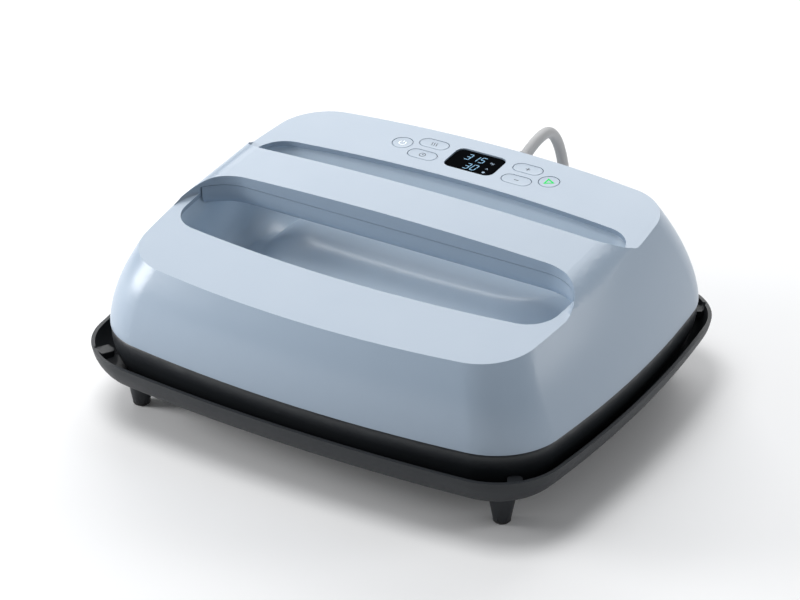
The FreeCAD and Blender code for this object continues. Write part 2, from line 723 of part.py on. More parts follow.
cord_radius = S.cord_diameter / 2
CORD_POINTS = [
    (6.2, 139.3, 102.9),
    (4.0, 165.5, 108.9),
    (1.9, 190.0, 97.8),
    (-1.0, 210.4, 60.0),
    (-13.0, 232.0, 14.0),
    (-45.0, 262.0, cord_radius),
    (-85.0, 262.0, cord_radius),
]
cord_route = [Vector(*point) for point in CORD_POINTS]
cord_tip = cord_route[0]
exit_direction = (cord_route[1] - cord_route[0]).normalize()
relief_outer = S.relief_taper + S.relief_collar


def along_exit(distance):
    """A point on the cord's exit line, measured back from the strain relief's tip."""
    return cord_tip - exit_direction * distance


def exit_cylinder(radius, start, length):
    return Part.makeCylinder(radius, length, along_exit(start), exit_direction)


boss_front = relief_outer + S.cord_boss_length
cord_boss = exit_cylinder(S.cord_boss_radius, boss_front, S.cord_boss_length)
shell = shell.fuse(cord_boss)
neck_bore = S.relief_neck_radius + S.relief_fit
shell = shell.cut(exit_cylinder(neck_bore, boss_front + relief_outer, S.cord_boss_length + 2 * relief_outer))
collar_pocket = S.relief_collar_radius + S.relief_fit
shell = shell.cut(exit_cylinder(collar_pocket, relief_outer, relief_outer))
shell = shell.cut(exit_cylinder(collar_pocket, boss_front + relief_outer, relief_outer))
shell = shell.removeSplitter()
feature("upper_housing", shell)

# Lower half of the handle, with bosses for its screws. Its ends stop at the well's end walls.

handle_limit = prism(
    mouth_outline(S.lip_reveal, S.lip_reveal, S.lip_reveal), S.well_floor, FAR / 2
)
trough = handle_trough(0.0, 0.0).cut(handle_trough(S.handle_wall, S.handle_wall)).common(handle_limit)
screw_top = seam_level - S.seam_gap
for x in screw_rows:
    boss = column(x, handle_middle, S.boss_radius + 1.0, screw_top - S.handle_depth + 1.0, screw_top)
    trough = trough.fuse(boss)
for x in screw_rows:
    trough = trough.cut(column(x, handle_middle, S.screw_radius + S.through_clearance, 0, screw_top + 1))
    trough = trough.cut(column(x, handle_middle, S.screw_head_radius + S.through_clearance, 0, screw_seat))
feature("handle_underside", trough.removeSplitter())

# Well under the handle: a drafted bowl whose mound rises smoothly from its floor.


def well_section(level, offset):
    """One outline of the well's air space, drawn out by offset."""
    depth = S.roof_level - level
    side = S.well_draft * depth - S.lip_reveal
    rear = S.well_rear_draft * depth - S.lip_reveal
    over_floor = level - S.well_floor
    tuck = 0.0
    if over_floor < S.well_round:
        share = 1 - over_floor / S.well_round
        tuck = S.well_round * (1 - math.sqrt(max(1 - share**2, 0.0)))
    return mouth_outline(side + tuck - offset, side + tuck - offset, rear + tuck - offset)


WELL_STEPS = (0.0, 0.06, 0.25, 0.6, 1.0)


def well_form(offset):
    top = S.roof_level + S.crown_height
    levels = [S.well_floor + S.well_round * share for share in WELL_STEPS]
    levels += [(levels[-1] + top) / 2, top]
    return loft([wire_of(well_section(level, offset), level - offset * (level < top)) for level in levels])


MOUND_STEPS = (-0.1, 0.0, 0.2, 0.4, 0.6, 0.8, 1.0)


def mound_form(shrink):
    """The mound, whose flanks follow a cosine from foot to top."""
    wires = []
    for share in MOUND_STEPS:
        swing = (1 - math.cos(math.pi * max(share, 0.0))) / 2
        level = S.well_floor + S.mound_height * swing + S.mound_height * min(share, 0.0)
        arcs = bowed_outline(
            mouth_half_width - S.mound_end_gap - S.mound_side_run * max(share, 0.0) - shrink,
            -mouth_front_reach + S.mound_front_gap + S.mound_front_run * max(share, 0.0) + shrink,
            mouth_rear_reach + S.mound_corner_radius,
            S.mouth_front_radius,
            S.mouth_side_radius,
            S.mound_corner_radius,
        )
        wires.append(wire_of(arcs, level - shrink))
    return loft(wires)


air = well_form(0.0)
liner = well_form(S.well_wall).cut(air.cut(mound_form(0.0))).cut(mound_form(S.well_wall))
flange = prism(mouth_outline(-S.flange_width, -S.flange_width, -S.flange_width), S.well_floor, FAR / 2)
flange = flange.common(under_roof(S.roof_wall)).cut(under_roof(S.roof_wall + S.well_wall)).cut(air)
flange = flange.common(walls(S.shell_wall + S.flange_clearance))
liner = liner.common(under_roof(S.roof_wall)).fuse(flange).removeSplitter()
feature("grip_liner", liner)

# Skirt: the charcoal band that carries the shell, the chassis and, through them, the hot plate.

skirt_levels = [
    (S.skirt_level, S.skirt_step + S.skirt_taper),
    (S.skirt_level + 5.0, S.skirt_step + S.skirt_taper * 0.55),
    (S.chassis_level - 4.0, S.skirt_step + S.skirt_taper * 0.16),
    (S.edge_level, S.skirt_step),
]
skirt = loft([wire_of(footprint(inset), level) for level, inset in skirt_levels])
skirt = skirt.cut(loft([wire_of(footprint(inset + S.skirt_wall), level) for level, inset in skirt_levels]))
tongue_inset = S.shell_wall + S.tongue_clearance + S.tongue_lean
tongue_inner = footprint(tongue_inset + S.skirt_wall)
tongue_root = footprint(S.skirt_step + S.skirt_wall / 2)
skirt = skirt.fuse(ring(tongue_root, tongue_inner, S.edge_level - S.tongue_height / 2, S.edge_level))
skirt = skirt.fuse(
    ring(footprint(tongue_inset), tongue_inner, S.edge_level - S.tongue_height / 2, S.edge_level + S.tongue_height)
)
ledge_outer = S.skirt_step + S.skirt_wall / 2 + S.skirt_taper * 0.1
skirt = skirt.fuse(
    ring(
        footprint(ledge_outer),
        footprint(ledge_outer + S.ledge_width + S.boss_radius),
        ledge_bottom,
        S.chassis_level,
    )
)
plain_hole = S.screw_radius + S.through_clearance
for x, y, outward in housing_bosses:
    skirt = skirt.cut(column(x, y, plain_hole, ledge_bottom - 1, S.chassis_level + 1))
feature("lower_skirt", skirt.removeSplitter())

# Hot plate, its heating rod and what lies on it.

passes = [S.element_pitch * step for step in (-2.5, -1.5, -0.5, 0.5, 1.5, 2.5)]
element_run = S.edge_half_depth - plate_inset - S.element_margin - S.element_radius - S.element_pitch / 2
standoff_reach_y = element_run - S.standoff_setback
rise_y = element_run + S.element_rise_radius
bush_top = chassis_top + S.bush_flange
terminal_top = bush_top + S.terminal_rise


def rise_edges(x, upwards):
    """The rod's leg beside the rear edge: straight up through the chassis, with a bend at the plate."""
    centre = Vector(x, element_run, plate_top + S.element_rise_radius)
    diagonal = S.element_rise_radius * math.sqrt(0.5)
    flat = Vector(x, element_run, plate_top)
    bend = centre + Vector(0, diagonal, -diagonal)
    upright = Vector(x, rise_y, centre.z)
    top = Vector(x, rise_y, terminal_top)
    if upwards:
        return [Part.Arc(flat, bend, upright).toShape(), Part.makeLine(upright, top)]
    return [Part.makeLine(top, upright), Part.Arc(upright, bend, flat).toShape()]


def element_edges():
    """Six passes of the rod, joined by half turns in the plate's upper face."""
    edges = []
    heading = -1
    for step, x in enumerate(passes):
        start = Vector(x, -heading * element_run, plate_top)
        finish = Vector(x, heading * element_run, plate_top)
        edges.append(Part.makeLine(start, finish))
        if step + 1 < len(passes):
            crest = Vector(x + S.element_pitch / 2, heading * (element_run + S.element_pitch / 2), plate_top)
            onward = finish + Vector(S.element_pitch, 0, 0)
            edges.append(Part.Arc(finish, crest, onward).toShape())
        heading = -heading
    return edges


def tube(edges, radius):
    """A round tube along a path of tangent edges."""
    path = Part.Wire(edges)
    first = edges[0]
    start = first.valueAt(first.FirstParameter)
    direction = first.tangentAt(first.FirstParameter)
    ring_wire = Part.Wire(Part.makeCircle(radius, start, direction))
    return path.makePipeShell([ring_wire], True, False)


rod_edges = rise_edges(passes[0], False) + element_edges() + rise_edges(passes[-1], True)
feature("heating_element", tube(rod_edges, S.element_radius))

standoffs = [(S.element_pitch * step, sy * standoff_reach_y) for step in (-2, 0, 2) for sy in (-1, 1)]
groove = tube(
    rise_edges(passes[0], False) + element_edges() + rise_edges(passes[-1], True),
    S.element_radius + S.element_fit,
)
plate = prism(footprint(plate_inset), plate_bottom, plate_top).cut(groove)
feature("heat_plate", plate)

cutoffs = [(-S.element_pitch, 0.0), (S.element_pitch, 0.0)]
sensor_place = (0.0, S.sensor_reach_y)
blanket = prism(footprint(plate_inset + S.blanket_inset), blanket_bottom, blanket_top)
shield = prism(footprint(plate_inset + S.blanket_inset), shield_bottom, shield_top)
rod_places = [(passes[0], rise_y), (passes[-1], rise_y)]
pierced = [(x, y, S.standoff_radius) for x, y in standoffs]
pierced += [(x, y, S.cutoff_radius) for x, y in cutoffs]
pierced += [(x, y, S.element_radius) for x, y in rod_places]
pierced.append((sensor_place[0], sensor_place[1], S.sensor_radius))
for x, y, radius in pierced:
    hole = column(x, y, radius + S.hole_margin, plate_top, S.chassis_level)
    blanket = blanket.cut(hole)
    shield = shield.cut(hole)
rise_slot = S.element_radius + S.hole_margin
for x, y in rod_places:
    slot = Part.makeBox(
        2 * rise_slot, S.element_rise_radius * 1.4, FAR / 10, Vector(x - rise_slot, y - S.element_rise_radius, plate_top)
    )
    blanket = blanket.cut(slot)
feature("insulation_blanket", blanket)
feature("heat_shield", shield)


def group(label, solids):
    """Several alike solids in one sub-part."""
    return feature(label, Part.makeCompound(solids))


group(
    "thermal_cutoffs",
    [
        column(x, y, S.cutoff_radius, plate_top, plate_top + S.cutoff_height / 2).fuse(
            column(x, y, S.cutoff_radius * 0.7, plate_top, plate_top + S.cutoff_height)
        )
        for x, y in cutoffs
    ],
)


# Screws: a round head with a shank on its seat.


def screw(x, y, seat, upwards, length):
    """A pan-head screw. upwards is the way its shank points."""
    sense = 1 if upwards else -1
    shank = Part.makeCylinder(S.screw_radius, length, Vector(x, y, seat), Vector(0, 0, sense))
    head = Part.makeCylinder(S.screw_head_radius, S.screw_head_height, Vector(x, y, seat), Vector(0, 0, -sense))
    rim = [e for e in head.Edges if abs(e.CenterOfMass.z - (seat - sense * S.screw_head_height)) < 0.01]
    return head.makeFillet(S.screw_head_height / 3, rim).fuse(shank)


group(
    "plate_standoffs",
    [
        column(x, y, S.standoff_radius, plate_top, S.chassis_level).cut(
            column(x, y, S.screw_radius + S.screw_fit, S.chassis_level - S.screw_bite, S.chassis_level)
        )
        for x, y in standoffs
    ],
)
plate_screw_length = S.chassis_thickness + S.screw_bite - 1.0
group("plate_screws", [screw(x, y, chassis_top, False, plate_screw_length) for x, y in standoffs])
housing_screw_length = S.ledge_thickness + S.chassis_thickness + S.screw_bite
group("housing_screws", [screw(x, y, ledge_bottom, True, housing_screw_length) for x, y, way in housing_bosses])
group("handle_screws", [screw(x, handle_middle, screw_seat, True, seam_level - screw_seat + 5) for x in screw_rows])

# Chassis: closes the electronics space and carries the power board.

post_reach_x = S.power_board_width / 2 - S.board_screw_inset
post_reach_y = S.power_board_depth / 2 - S.board_screw_inset
board_posts = [(sx * post_reach_x, power_board_row + sy * post_reach_y) for sx in (-1, 1) for sy in (-1, 1)]
chassis_inset = ledge_outer + S.skirt_wall / 2 + S.chassis_clearance
chassis = prism(footprint(chassis_inset), S.chassis_level, chassis_top)
for x, y in board_posts:
    chassis = chassis.fuse(column(x, y, S.boss_radius, chassis_top - 1, board_bottom))
for x, y in board_posts:
    chassis = chassis.cut(column(x, y, S.screw_radius + S.screw_fit, S.chassis_level + 0.8, board_bottom))
for x, y, way in housing_bosses:
    chassis = chassis.cut(column(x, y, plain_hole, S.chassis_level, chassis_top))
for x, y in standoffs:
    chassis = chassis.cut(column(x, y, plain_hole, S.chassis_level, chassis_top))
for x, y in rod_places:
    chassis = chassis.cut(column(x, y, S.bush_radius + S.through_clearance / 2, S.chassis_level, chassis_top))
sensor_hole = S.sensor_radius + S.hole_margin
chassis = chassis.cut(column(sensor_place[0], sensor_place[1], sensor_hole, S.chassis_level, chassis_top))
feature("chassis_plate", chassis)

bush_gap = S.screw_fit
group(
    "terminal_bushes",
    [
        column(x, y, S.bush_radius, S.chassis_level, chassis_top)
        .fuse(column(x, y, S.bush_radius + S.bush_flange, chassis_top, bush_top))
        .cut(column(x, y, S.element_radius + bush_gap, S.chassis_level, bush_top))
        for x, y in rod_places
    ],
)


# The temperature sensor: a probe on the plate, whose sleeve reaches the chassis.

probe = column(sensor_place[0], sensor_place[1], S.sensor_radius, plate_top, plate_top + S.sensor_height)
sleeve = column(sensor_place[0], sensor_place[1], S.sensor_radius / 2, plate_top, chassis_top + S.board_rise)
feature("temperature_sensor", probe.fuse(sleeve))


# Boards and their parts. Each simple part is a body with one padded sketch.


def rectangle_sketch(body, width, depth):
    """A centred rectangle whose width and depth are bound to the sheet."""
    sketch = body.newObject("Sketcher::SketchObject", body.Name + "Outline")
    plane = [f for f in body.Origin.OriginFeatures if f.Role == "XY_Plane"][0]
    sketch.AttachmentSupport = (plane, "")
    sketch.MapMode = "FlatFace"
    corners = [Vector(-10, -5, 0), Vector(10, -5, 0), Vector(10, 5, 0), Vector(-10, 5, 0)]
    for first, second in zip(corners, corners[1:] + corners[:1]):
        sketch.addGeometry(Part.LineSegment(first, second), False)
    for index in range(4):
        sketch.addConstraint(Sketcher.Constraint("Coincident", index, 2, (index + 1) % 4, 1))
    sketch.addConstraint(Sketcher.Constraint("Horizontal", 0))
    sketch.addConstraint(Sketcher.Constraint("Horizontal", 2))
    sketch.addConstraint(Sketcher.Constraint("Vertical", 1))
    sketch.addConstraint(Sketcher.Constraint("Vertical", 3))
    sketch.addConstraint(Sketcher.Constraint("Symmetric", 0, 1, 1, 2, -1, 1))
    across = sketch.addConstraint(Sketcher.Constraint("DistanceX", 0, 1, 0, 2, 20))
    deep = sketch.addConstraint(Sketcher.Constraint("DistanceY", 1, 1, 1, 2, 10))
    sketch.renameConstraint(across, "across")
    sketch.renameConstraint(deep, "deep")
    sketch.setExpression("Constraints.across", width)
    sketch.setExpression("Constraints.deep", depth)
    return sketch


def slab(label, width, depth, thickness, place, corner=None):
    """A rectangular sub-part whose sizes are expressions of the sheet, standing on its own plane at place."""
    body = doc.addObject("PartDesign::Body", label)
    sketch = rectangle_sketch(body, width, depth)
    pad = body.newObject("PartDesign::Pad", label + "Pad")
    pad.Profile = sketch
    pad.setExpression("Length", thickness)
    doc.recompute()
    if corner:
        upright = [
            f"Edge{number}"
            for number, edge in enumerate(pad.Shape.Edges, start=1)
            if abs(edge.tangentAt(edge.FirstParameter).z) > 0.9
        ]
        fillet = body.newObject("PartDesign::Fillet", label + "Corners")
        fillet.Base = (pad, upright)
        fillet.setExpression("Radius", corner)
        body.Tip = fillet
    body.Placement = place
    return keep(label, body)


def drilled(label, body, holes):
    """The body with holes, given as x, y and radius in the body's own plane, each bored by a cylinder."""
    tools = []
    for number, (x, y, radius) in enumerate(holes):
        tool = doc.addObject("Part::Cylinder", f"{label}Drill{number}")
        tool.Radius = radius
        tool.Height = FAR / 20
        tool.Placement = body.Placement.multiply(Placement(Vector(x, y, -FAR / 40), Rotation()))
        tools.append(tool)
    drills = doc.addObject("Part::MultiFuse", label + "Drills")
    drills.Shapes = tools
    cut = doc.addObject("Part::Cut", label + "Drilled")
    cut.Base = body
    cut.Tool = drills
    body.Label = label + "_blank"
    return keep(label, cut)


power_place = Placement(Vector(0, power_board_row, board_bottom), Rotation())
power_board = slab(
    "power_board", "Sizes.power_board_width", "Sizes.power_board_depth", "Sizes.board_thickness", power_place
)
drilled("power_board", power_board, [(x, y - power_board_row, plain_hole) for x, y in board_posts])
group("board_screws", [screw(x, y, board_top, False, S.board_thickness + S.board_rise) for x, y in board_posts])


def on_board(x, y):
    return Placement(Vector(x, power_board_row + y, board_top), Rotation())


board_left = -S.power_board_width / 2 + S.power_board_margin
board_right = S.power_board_width / 2 - S.power_board_margin
ribbon_left = board_left
transformer_left = ribbon_left + S.ribbon_width + S.power_part_gap
relay_left = transformer_left + S.transformer_width + S.power_part_gap
front_row = -S.power_board_depth / 2 + S.board_screw_inset
rear_row = S.power_board_depth / 2 - S.board_screw_inset
terminal_x = board_right - S.terminal_width / 2
terminal_y = front_row + S.terminal_depth / 2

slab(
    "transformer",
    "Sizes.transformer_width",
    "Sizes.transformer_depth",
    "Sizes.transformer_height",
    on_board(transformer_left + S.transformer_width / 2, 0.0),
    "1.0",
)
slab(
    "relay",
    "Sizes.relay_width",
    "Sizes.relay_depth",
    "Sizes.relay_height",
    on_board(relay_left + S.relay_width / 2, front_row + S.relay_depth / 2),
    "1.0",
)
slab(
    "terminal_block",
    "Sizes.terminal_width",
    "Sizes.terminal_depth",
    "Sizes.terminal_height",
    on_board(terminal_x, terminal_y),
    "1.0",
)

capacitor = doc.addObject("Part::Cylinder", "filter_capacitor")
capacitor.setExpression("Radius", "Sizes.capacitor_radius")
capacitor.setExpression("Height", "Sizes.capacitor_height")
capacitor.Placement = on_board(terminal_x, rear_row - S.capacitor_radius)
keep("filter_capacitor", capacitor)

FIN_COUNT = 4
sink_width = S.fin_pitch * (FIN_COUNT - 1) + S.fin_thickness
sink = Part.makeBox(sink_width, S.fin_base, S.fin_height)
for number in range(FIN_COUNT):
    sink = sink.fuse(Part.makeBox(S.fin_thickness, S.fin_depth, S.fin_height, Vector(S.fin_pitch * number, 0, 0)))
sink.translate(Vector(relay_left, power_board_row + rear_row - S.fin_depth, board_top))
feature("heat_sink", sink.removeSplitter())

# Control panel: keys, rubber keypad, board, display and window.


def panel_place(x, y, height):
    return panel.multiply(Placement(Vector(x, y, height), Rotation()))


collar_top = -S.roof_wall - S.key_gap
collar_bottom = collar_top - S.key_collar_thickness
for label, x in round_keys.items():
    cap = round_key(x, 0, collar_top, 0)
    collar = round_key(x, S.key_collar, collar_bottom, collar_top)
    feature(label, on_panel(cap.fuse(collar)))
for label, (x, y) in pill_keys.items():
    cap = pill_key(x, y, 0, collar_top, 0)
    collar = pill_key(x, y, S.key_collar, collar_bottom, collar_top)
    feature(label, on_panel(cap.fuse(collar)))

keypad = slab(
    "keypad_mat",
    "Sizes.keypad_width",
    "Sizes.keypad_depth",
    "Sizes.keypad_thickness",
    panel_place(0, 0, board_face),
    "3.0",
)
window = doc.addObject("Part::Box", "KeypadWindow")
window.setExpression("Length", "Sizes.lens_width + 2 * Sizes.module_margin")
window.setExpression("Width", "Sizes.lens_depth + 2 * Sizes.module_margin")
window.Height = FAR / 20
window_x = S.lens_width / 2 + S.module_margin
window_y = S.lens_depth / 2 + S.module_margin
window.Placement = panel_place(-window_x, -window_y, board_face - FAR / 40)
keypad_cut = doc.addObject("Part::Cut", "KeypadFrame")
keypad_cut.Base = keypad
keypad_cut.Tool = window
keypad.Label = "keypad_mat_blank"
keep("keypad_mat", keypad_cut)

control_board = slab(
    "control_board",
    "Sizes.control_board_width",
    "Sizes.control_board_depth",
    "Sizes.board_thickness",
    panel_place(0, 0, board_face - S.board_thickness),
    "3.0",
)
drilled("control_board", control_board, [(x, y, plain_hole) for x, y in panel_bosses])
panel_screw_length = S.board_thickness + abs(board_face) - S.roof_wall - 1.0
group(
    "panel_screws",
    [on_panel(screw(x, y, board_face - S.board_thickness, True, panel_screw_length)) for x, y in panel_bosses],
)
module_height = lens_bottom - board_face
module = slab(
    "display_module",
    "Sizes.lens_width - Sizes.module_margin",
    "Sizes.lens_depth - Sizes.module_margin",
    str(module_height),
    panel_place(0, 0, board_face),
    "1.0",
)
slab(
    "display_lens",
    "Sizes.lens_width",
    "Sizes.lens_depth",
    "Sizes.lens_thickness",
    panel_place(0, 0, lens_bottom),
    "Sizes.lens_corner",
)
buzzer = doc.addObject("Part::Cylinder", "buzzer")
buzzer.setExpression("Radius", "Sizes.buzzer_radius")
buzzer.setExpression("Height", "Sizes.buzzer_height")
buzzer.Placement = panel_place(S.pill_reach, 0, board_face - S.board_thickness - S.buzzer_height)
keep("buzzer", buzzer)

# Base: tray with four feet and corner nubs, rubber foot tips and the mat.

tray_levels = [
    (S.foot_height, 1.0),
    (S.foot_height + 1.2, 0.81),
    (S.foot_height + 3.1, 0.62),
    (S.foot_height + 5.6, 0.44),
    (S.foot_height + 9.6, 0.26),
    (S.foot_height + 14.6, 0.11),
    (S.foot_height + 18.4, 0.04),
    (S.rim_level, 0.0),
]
tray = loft([wire_of(rim_outline(S.tray_tuck * share), level) for level, share in tray_levels])
inner_levels = [(tray_top, 0.66)] + [(level, share) for level, share in tray_levels if level > tray_top + 1]
hollow = loft(
    [wire_of(rim_outline(S.tray_tuck * share + S.tray_wall), level) for level, share in inner_levels]
)
tray = tray.cut(hollow)
feet = []
for sx in (-1, 1):
    for sy in (-1, 1):
        centre = Vector(sx * foot_reach_x, sy * foot_reach_y, 0)
        cone_top = S.foot_height + S.tray_floor / 2
        lean = (S.foot_root_radius - S.foot_tip_radius) / (S.foot_height - S.foot_pad_height)
        flare_low = S.foot_height - S.foot_flare
        flare_radius = S.foot_root_radius - lean * S.foot_flare
        profile = [
            Vector(0, 0, S.foot_pad_height),
            Vector(S.foot_tip_radius, 0, S.foot_pad_height),
            Vector(flare_radius, 0, flare_low),
        ]
        bend = Vector(flare_radius + S.foot_flare * 0.36, 0, flare_low + S.foot_flare * 0.64)
        crest = Vector(S.foot_root_radius + S.foot_flare, 0, S.foot_height)
        edges = [
            Part.makeLine(profile[0], profile[1]),
            Part.makeLine(profile[1], profile[2]),
            Part.Arc(profile[2], bend, crest).toShape(),
            Part.makeLine(crest, Vector(crest.x, 0, cone_top)),
            Part.makeLine(Vector(crest.x, 0, cone_top), Vector(0, 0, cone_top)),
            Part.makeLine(Vector(0, 0, cone_top), profile[0]),
        ]
        foot = Part.Face(Part.Wire(edges)).revolve(Vector(0, 0, 0), Vector(0, 0, 1), 360)
        foot.translate(centre)
        tray = tray.fuse(foot)
        pad = Part.makeCylinder(S.foot_tip_radius, S.foot_pad_height, centre)
        tip = [e for e in pad.Edges if e.BoundBox.ZMax < 0.01]
        feet.append(pad.makeFillet(S.foot_pad_height * 0.6, tip))


def nub(sx, sy):
    """A rounded rib from the rim's inner corner towards the skirt."""
    rim_arcs = rim_outline(S.tray_wall * 1.15)
    skirt_arcs = footprint(S.skirt_step - S.nub_clearance)
    corner = 3 if sy > 0 else 1
    far_end = rim_arcs[corner][1]
    near_end = skirt_arcs[corner][1] + Vector(0, S.press_offset, 0)
    outward = (far_end - near_end).normalize()
    length = (far_end - near_end).Length
    angle = math.degrees(math.atan2(outward.y, outward.x))
    bar = rounded_plate(length, S.nub_width, min(length, S.nub_width) * 0.3, 0, S.nub_height)
    bar.translate(Vector(length / 2, 0, S.nub_level - S.nub_height / 2))
    bar.rotate(Vector(0, 0, 0), Vector(0, 0, 1), angle)
    bar.translate(near_end)
    if sx < 0:
        bar = bar.mirror(Vector(0, 0, 0), Vector(1, 0, 0))
    return bar


for sx in (-1, 1):
    for sy in (-1, 1):
        tray = tray.fuse(nub(sx, sy))
feature("base_tray", tray.removeSplitter())
group("foot_pads", feet)
feature("rest_mat", prism(footprint(plate_inset + S.mat_inset), tray_top, mat_top))

# Strain relief: two collars either side of the thickened wall, and a taper to the tip.

relief = exit_cylinder(S.relief_neck_radius, boss_front, S.cord_boss_length)
relief = relief.fuse(exit_cylinder(S.relief_collar_radius, boss_front + S.relief_collar, S.relief_collar))
relief = relief.fuse(exit_cylinder(S.relief_collar_radius, relief_outer, S.relief_collar))
taper = Part.makeCone(
    S.relief_taper_radius, S.relief_tip_radius, S.relief_taper, along_exit(S.relief_taper), exit_direction
)
feature("strain_relief", relief.fuse(taper).removeSplitter())

# Free stretch of the cord: straight runs joined by arcs as large as the runs allow.


def turn_between(before, at, after):
    """Half the turn at a route point, and the arc's radius there."""
    first, second = at - before, after - at
    half_turn = first.getAngle(second) / 2
    return half_turn, 0.45 * min(first.Length, second.Length) / math.tan(half_turn)


def bend_middle(start, corner, finish):
    """The middle of the arc that is tangent to both runs at start and finish."""
    chord_middle = (start + finish) * 0.5
    half_chord = (finish - start).Length / 2
    rise = (corner - chord_middle).Length
    half_turn = math.atan2(rise, half_chord)
    return chord_middle + (corner - chord_middle).normalize() * (half_chord * math.tan(half_turn / 2))


def rounded_route(points):
    edges = []
    here = points[0]
    radii = []
    for before, at, after in zip(points, points[1:], points[2:]):
        half_turn, radius = turn_between(before, at, after)
        radii.append(radius)
        reach = radius * math.tan(half_turn)
        start = at + (before - at).normalize() * reach
        finish = at + (after - at).normalize() * reach
        edges.append(Part.makeLine(here, start))
        edges.append(Part.Arc(start, bend_middle(start, at, finish), finish).toShape())
        here = finish
    edges.append(Part.makeLine(here, points[-1]))
    print("cord radii", [round(r, 1) for r in radii])
    return edges


cord_edges = rounded_route(cord_route)
free_length = sum(edge.Length for edge in cord_edges)
free_cord = tube(cord_edges, cord_radius)
section_area = math.pi * cord_radius**2
print("free cord", round(free_length, 1), "volume share", round(free_cord.Volume / (section_area * free_length), 4))
feature("power_cord", free_cord)

# Coil: one unbroken tube that spirals in on the table, climbs a layer and spirals out again.

pitch = S.cord_diameter + S.coil_gap
coil_start = cord_route[-1] + Vector(-S.cord_diameter, 0, 0)
coil_centre = coil_start - Vector(0, S.coil_radius, 0)
START_ANGLE = 90.0
QUARTERS = 4


def coil_state(turns):
    """Position and heading on the coil after some turns, counted from its outer start."""
    turned_in = min(turns, S.coil_turns_in)
    turned_out = max(turns - S.coil_turns_in, 0.0)
    radius = S.coil_radius - pitch * turned_in + pitch * turned_out
    radial_rate = (-pitch if turns < S.coil_turns_in else pitch) / (2 * math.pi)
    climb = min(max((turns - S.coil_turns_in) * 2 + 0.5, 0.0), 1.0)
    level = cord_radius + pitch * (1 - math.cos(math.pi * climb)) / 2
    climb_rate = pitch * math.sin(math.pi * climb) / 2 if 0.0 < climb < 1.0 else 0.0
    angle = math.radians(START_ANGLE) + 2 * math.pi * turns
    if abs(turns - S.coil_turns_in) < 1e-9:
        radial_rate = 0.0
    outward = Vector(math.cos(angle), math.sin(angle), 0)
    onward = Vector(-math.sin(angle), math.cos(angle), 0)
    place = Vector(coil_centre.x, coil_centre.y, level) + outward * radius
    heading = onward * radius + outward * radial_rate + Vector(0, 0, climb_rate)
    return place, heading.normalize()


def biarc(start, start_heading, finish, finish_heading):
    """Two tangent arcs from one heading to another."""
    span = finish - start
    both = start_heading + finish_heading
    factor = 2 * (1 - start_heading.dot(finish_heading))
    root = math.sqrt(span.dot(both) ** 2 + factor * span.dot(span))
    reach = (root - span.dot(both)) / factor
    first_corner = start + start_heading * reach
    second_corner = finish - finish_heading * reach
    middle = (first_corner + second_corner) * 0.5
    return [
        Part.Arc(start, bend_middle(start, first_corner, middle), middle).toShape(),
        Part.Arc(middle, bend_middle(middle, second_corner, finish), finish).toShape(),
    ]


coil_turns = S.coil_turns_in + S.coil_turns_out
quarter_count = round(coil_turns * QUARTERS - 0.5)
stations = [number / QUARTERS for number in range(quarter_count + 1)] + [coil_turns]
states = [coil_state(turns) for turns in stations]
states[0] = (coil_start, Vector(-1, 0, 0))
coil_edges = [Part.makeLine(cord_route[-1], coil_start)]
for (place, heading), (next_place, next_heading) in zip(states, states[1:]):
    coil_edges += biarc(place, heading, next_place, next_heading)
coil_end, coil_heading = states[-1]
plug_entry = coil_end + coil_heading * S.coil_tail
coil_edges.append(Part.makeLine(coil_end, plug_entry))
coil_length = sum(edge.Length for edge in coil_edges)
coil = tube(coil_edges, cord_radius)


def least_gap():
    """The coil's least clear gap to itself, from points two centimetres or more apart along it."""
    wire = Part.Wire(coil_edges)
    points = wire.discretize(Distance=3.0)
    skip = 12
    least = FAR
    for number, point in enumerate(points):
        for other in points[number + skip :]:
            least = min(least, point.distanceToPoint(other))
    return least - S.cord_diameter


print("coil", round(coil_length, 1), "volume share", round(coil.Volume / (section_area * coil_length), 4))
print("coil least gap to itself", round(least_gap(), 2))
feature("cord_coil", coil)

# Plug, lying on the table at the coil's end.

plug_height = 2 * coil_end.z
upward = Vector(0, 0, 1)
plug_turn = Rotation(upward.cross(coil_heading), upward, coil_heading, "ZYX")
plug_place = Placement(plug_entry, plug_turn)
sleeve = Part.makeCone(cord_radius + 1.2, cord_radius + 3.2, S.plug_sleeve)
plug = rounded_plate(S.plug_width, plug_height, S.plug_corner, S.plug_sleeve, S.plug_sleeve + S.plug_length)
face_level = S.plug_sleeve + S.plug_length
soft_edges = [e for e in plug.Edges if e.BoundBox.ZMax < S.plug_sleeve + 0.01]
plug = plug.makeFillet(S.plug_corner / 2, soft_edges).fuse(sleeve).removeSplitter()
plug.Placement = plug_place
feature("plug_body", plug)
blades = []
for side in (-1, 1):
    blades.append(
        Part.makeBox(
            S.blade_thickness,
            S.blade_width,
            S.blade_length,
            Vector(
                side * S.blade_spacing / 2 - S.blade_thickness / 2,
                -S.earth_pin_offset / 2 - S.blade_width / 2,
                face_level,
            ),
        )
    )
blades.append(
    Part.makeCylinder(S.earth_pin_radius, S.blade_length + 3, Vector(0, S.earth_pin_offset, face_level))
)
for blade in blades:
    blade.Placement = plug_place.multiply(blade.Placement)
group("plug_blades", blades)

# Inner wiring.

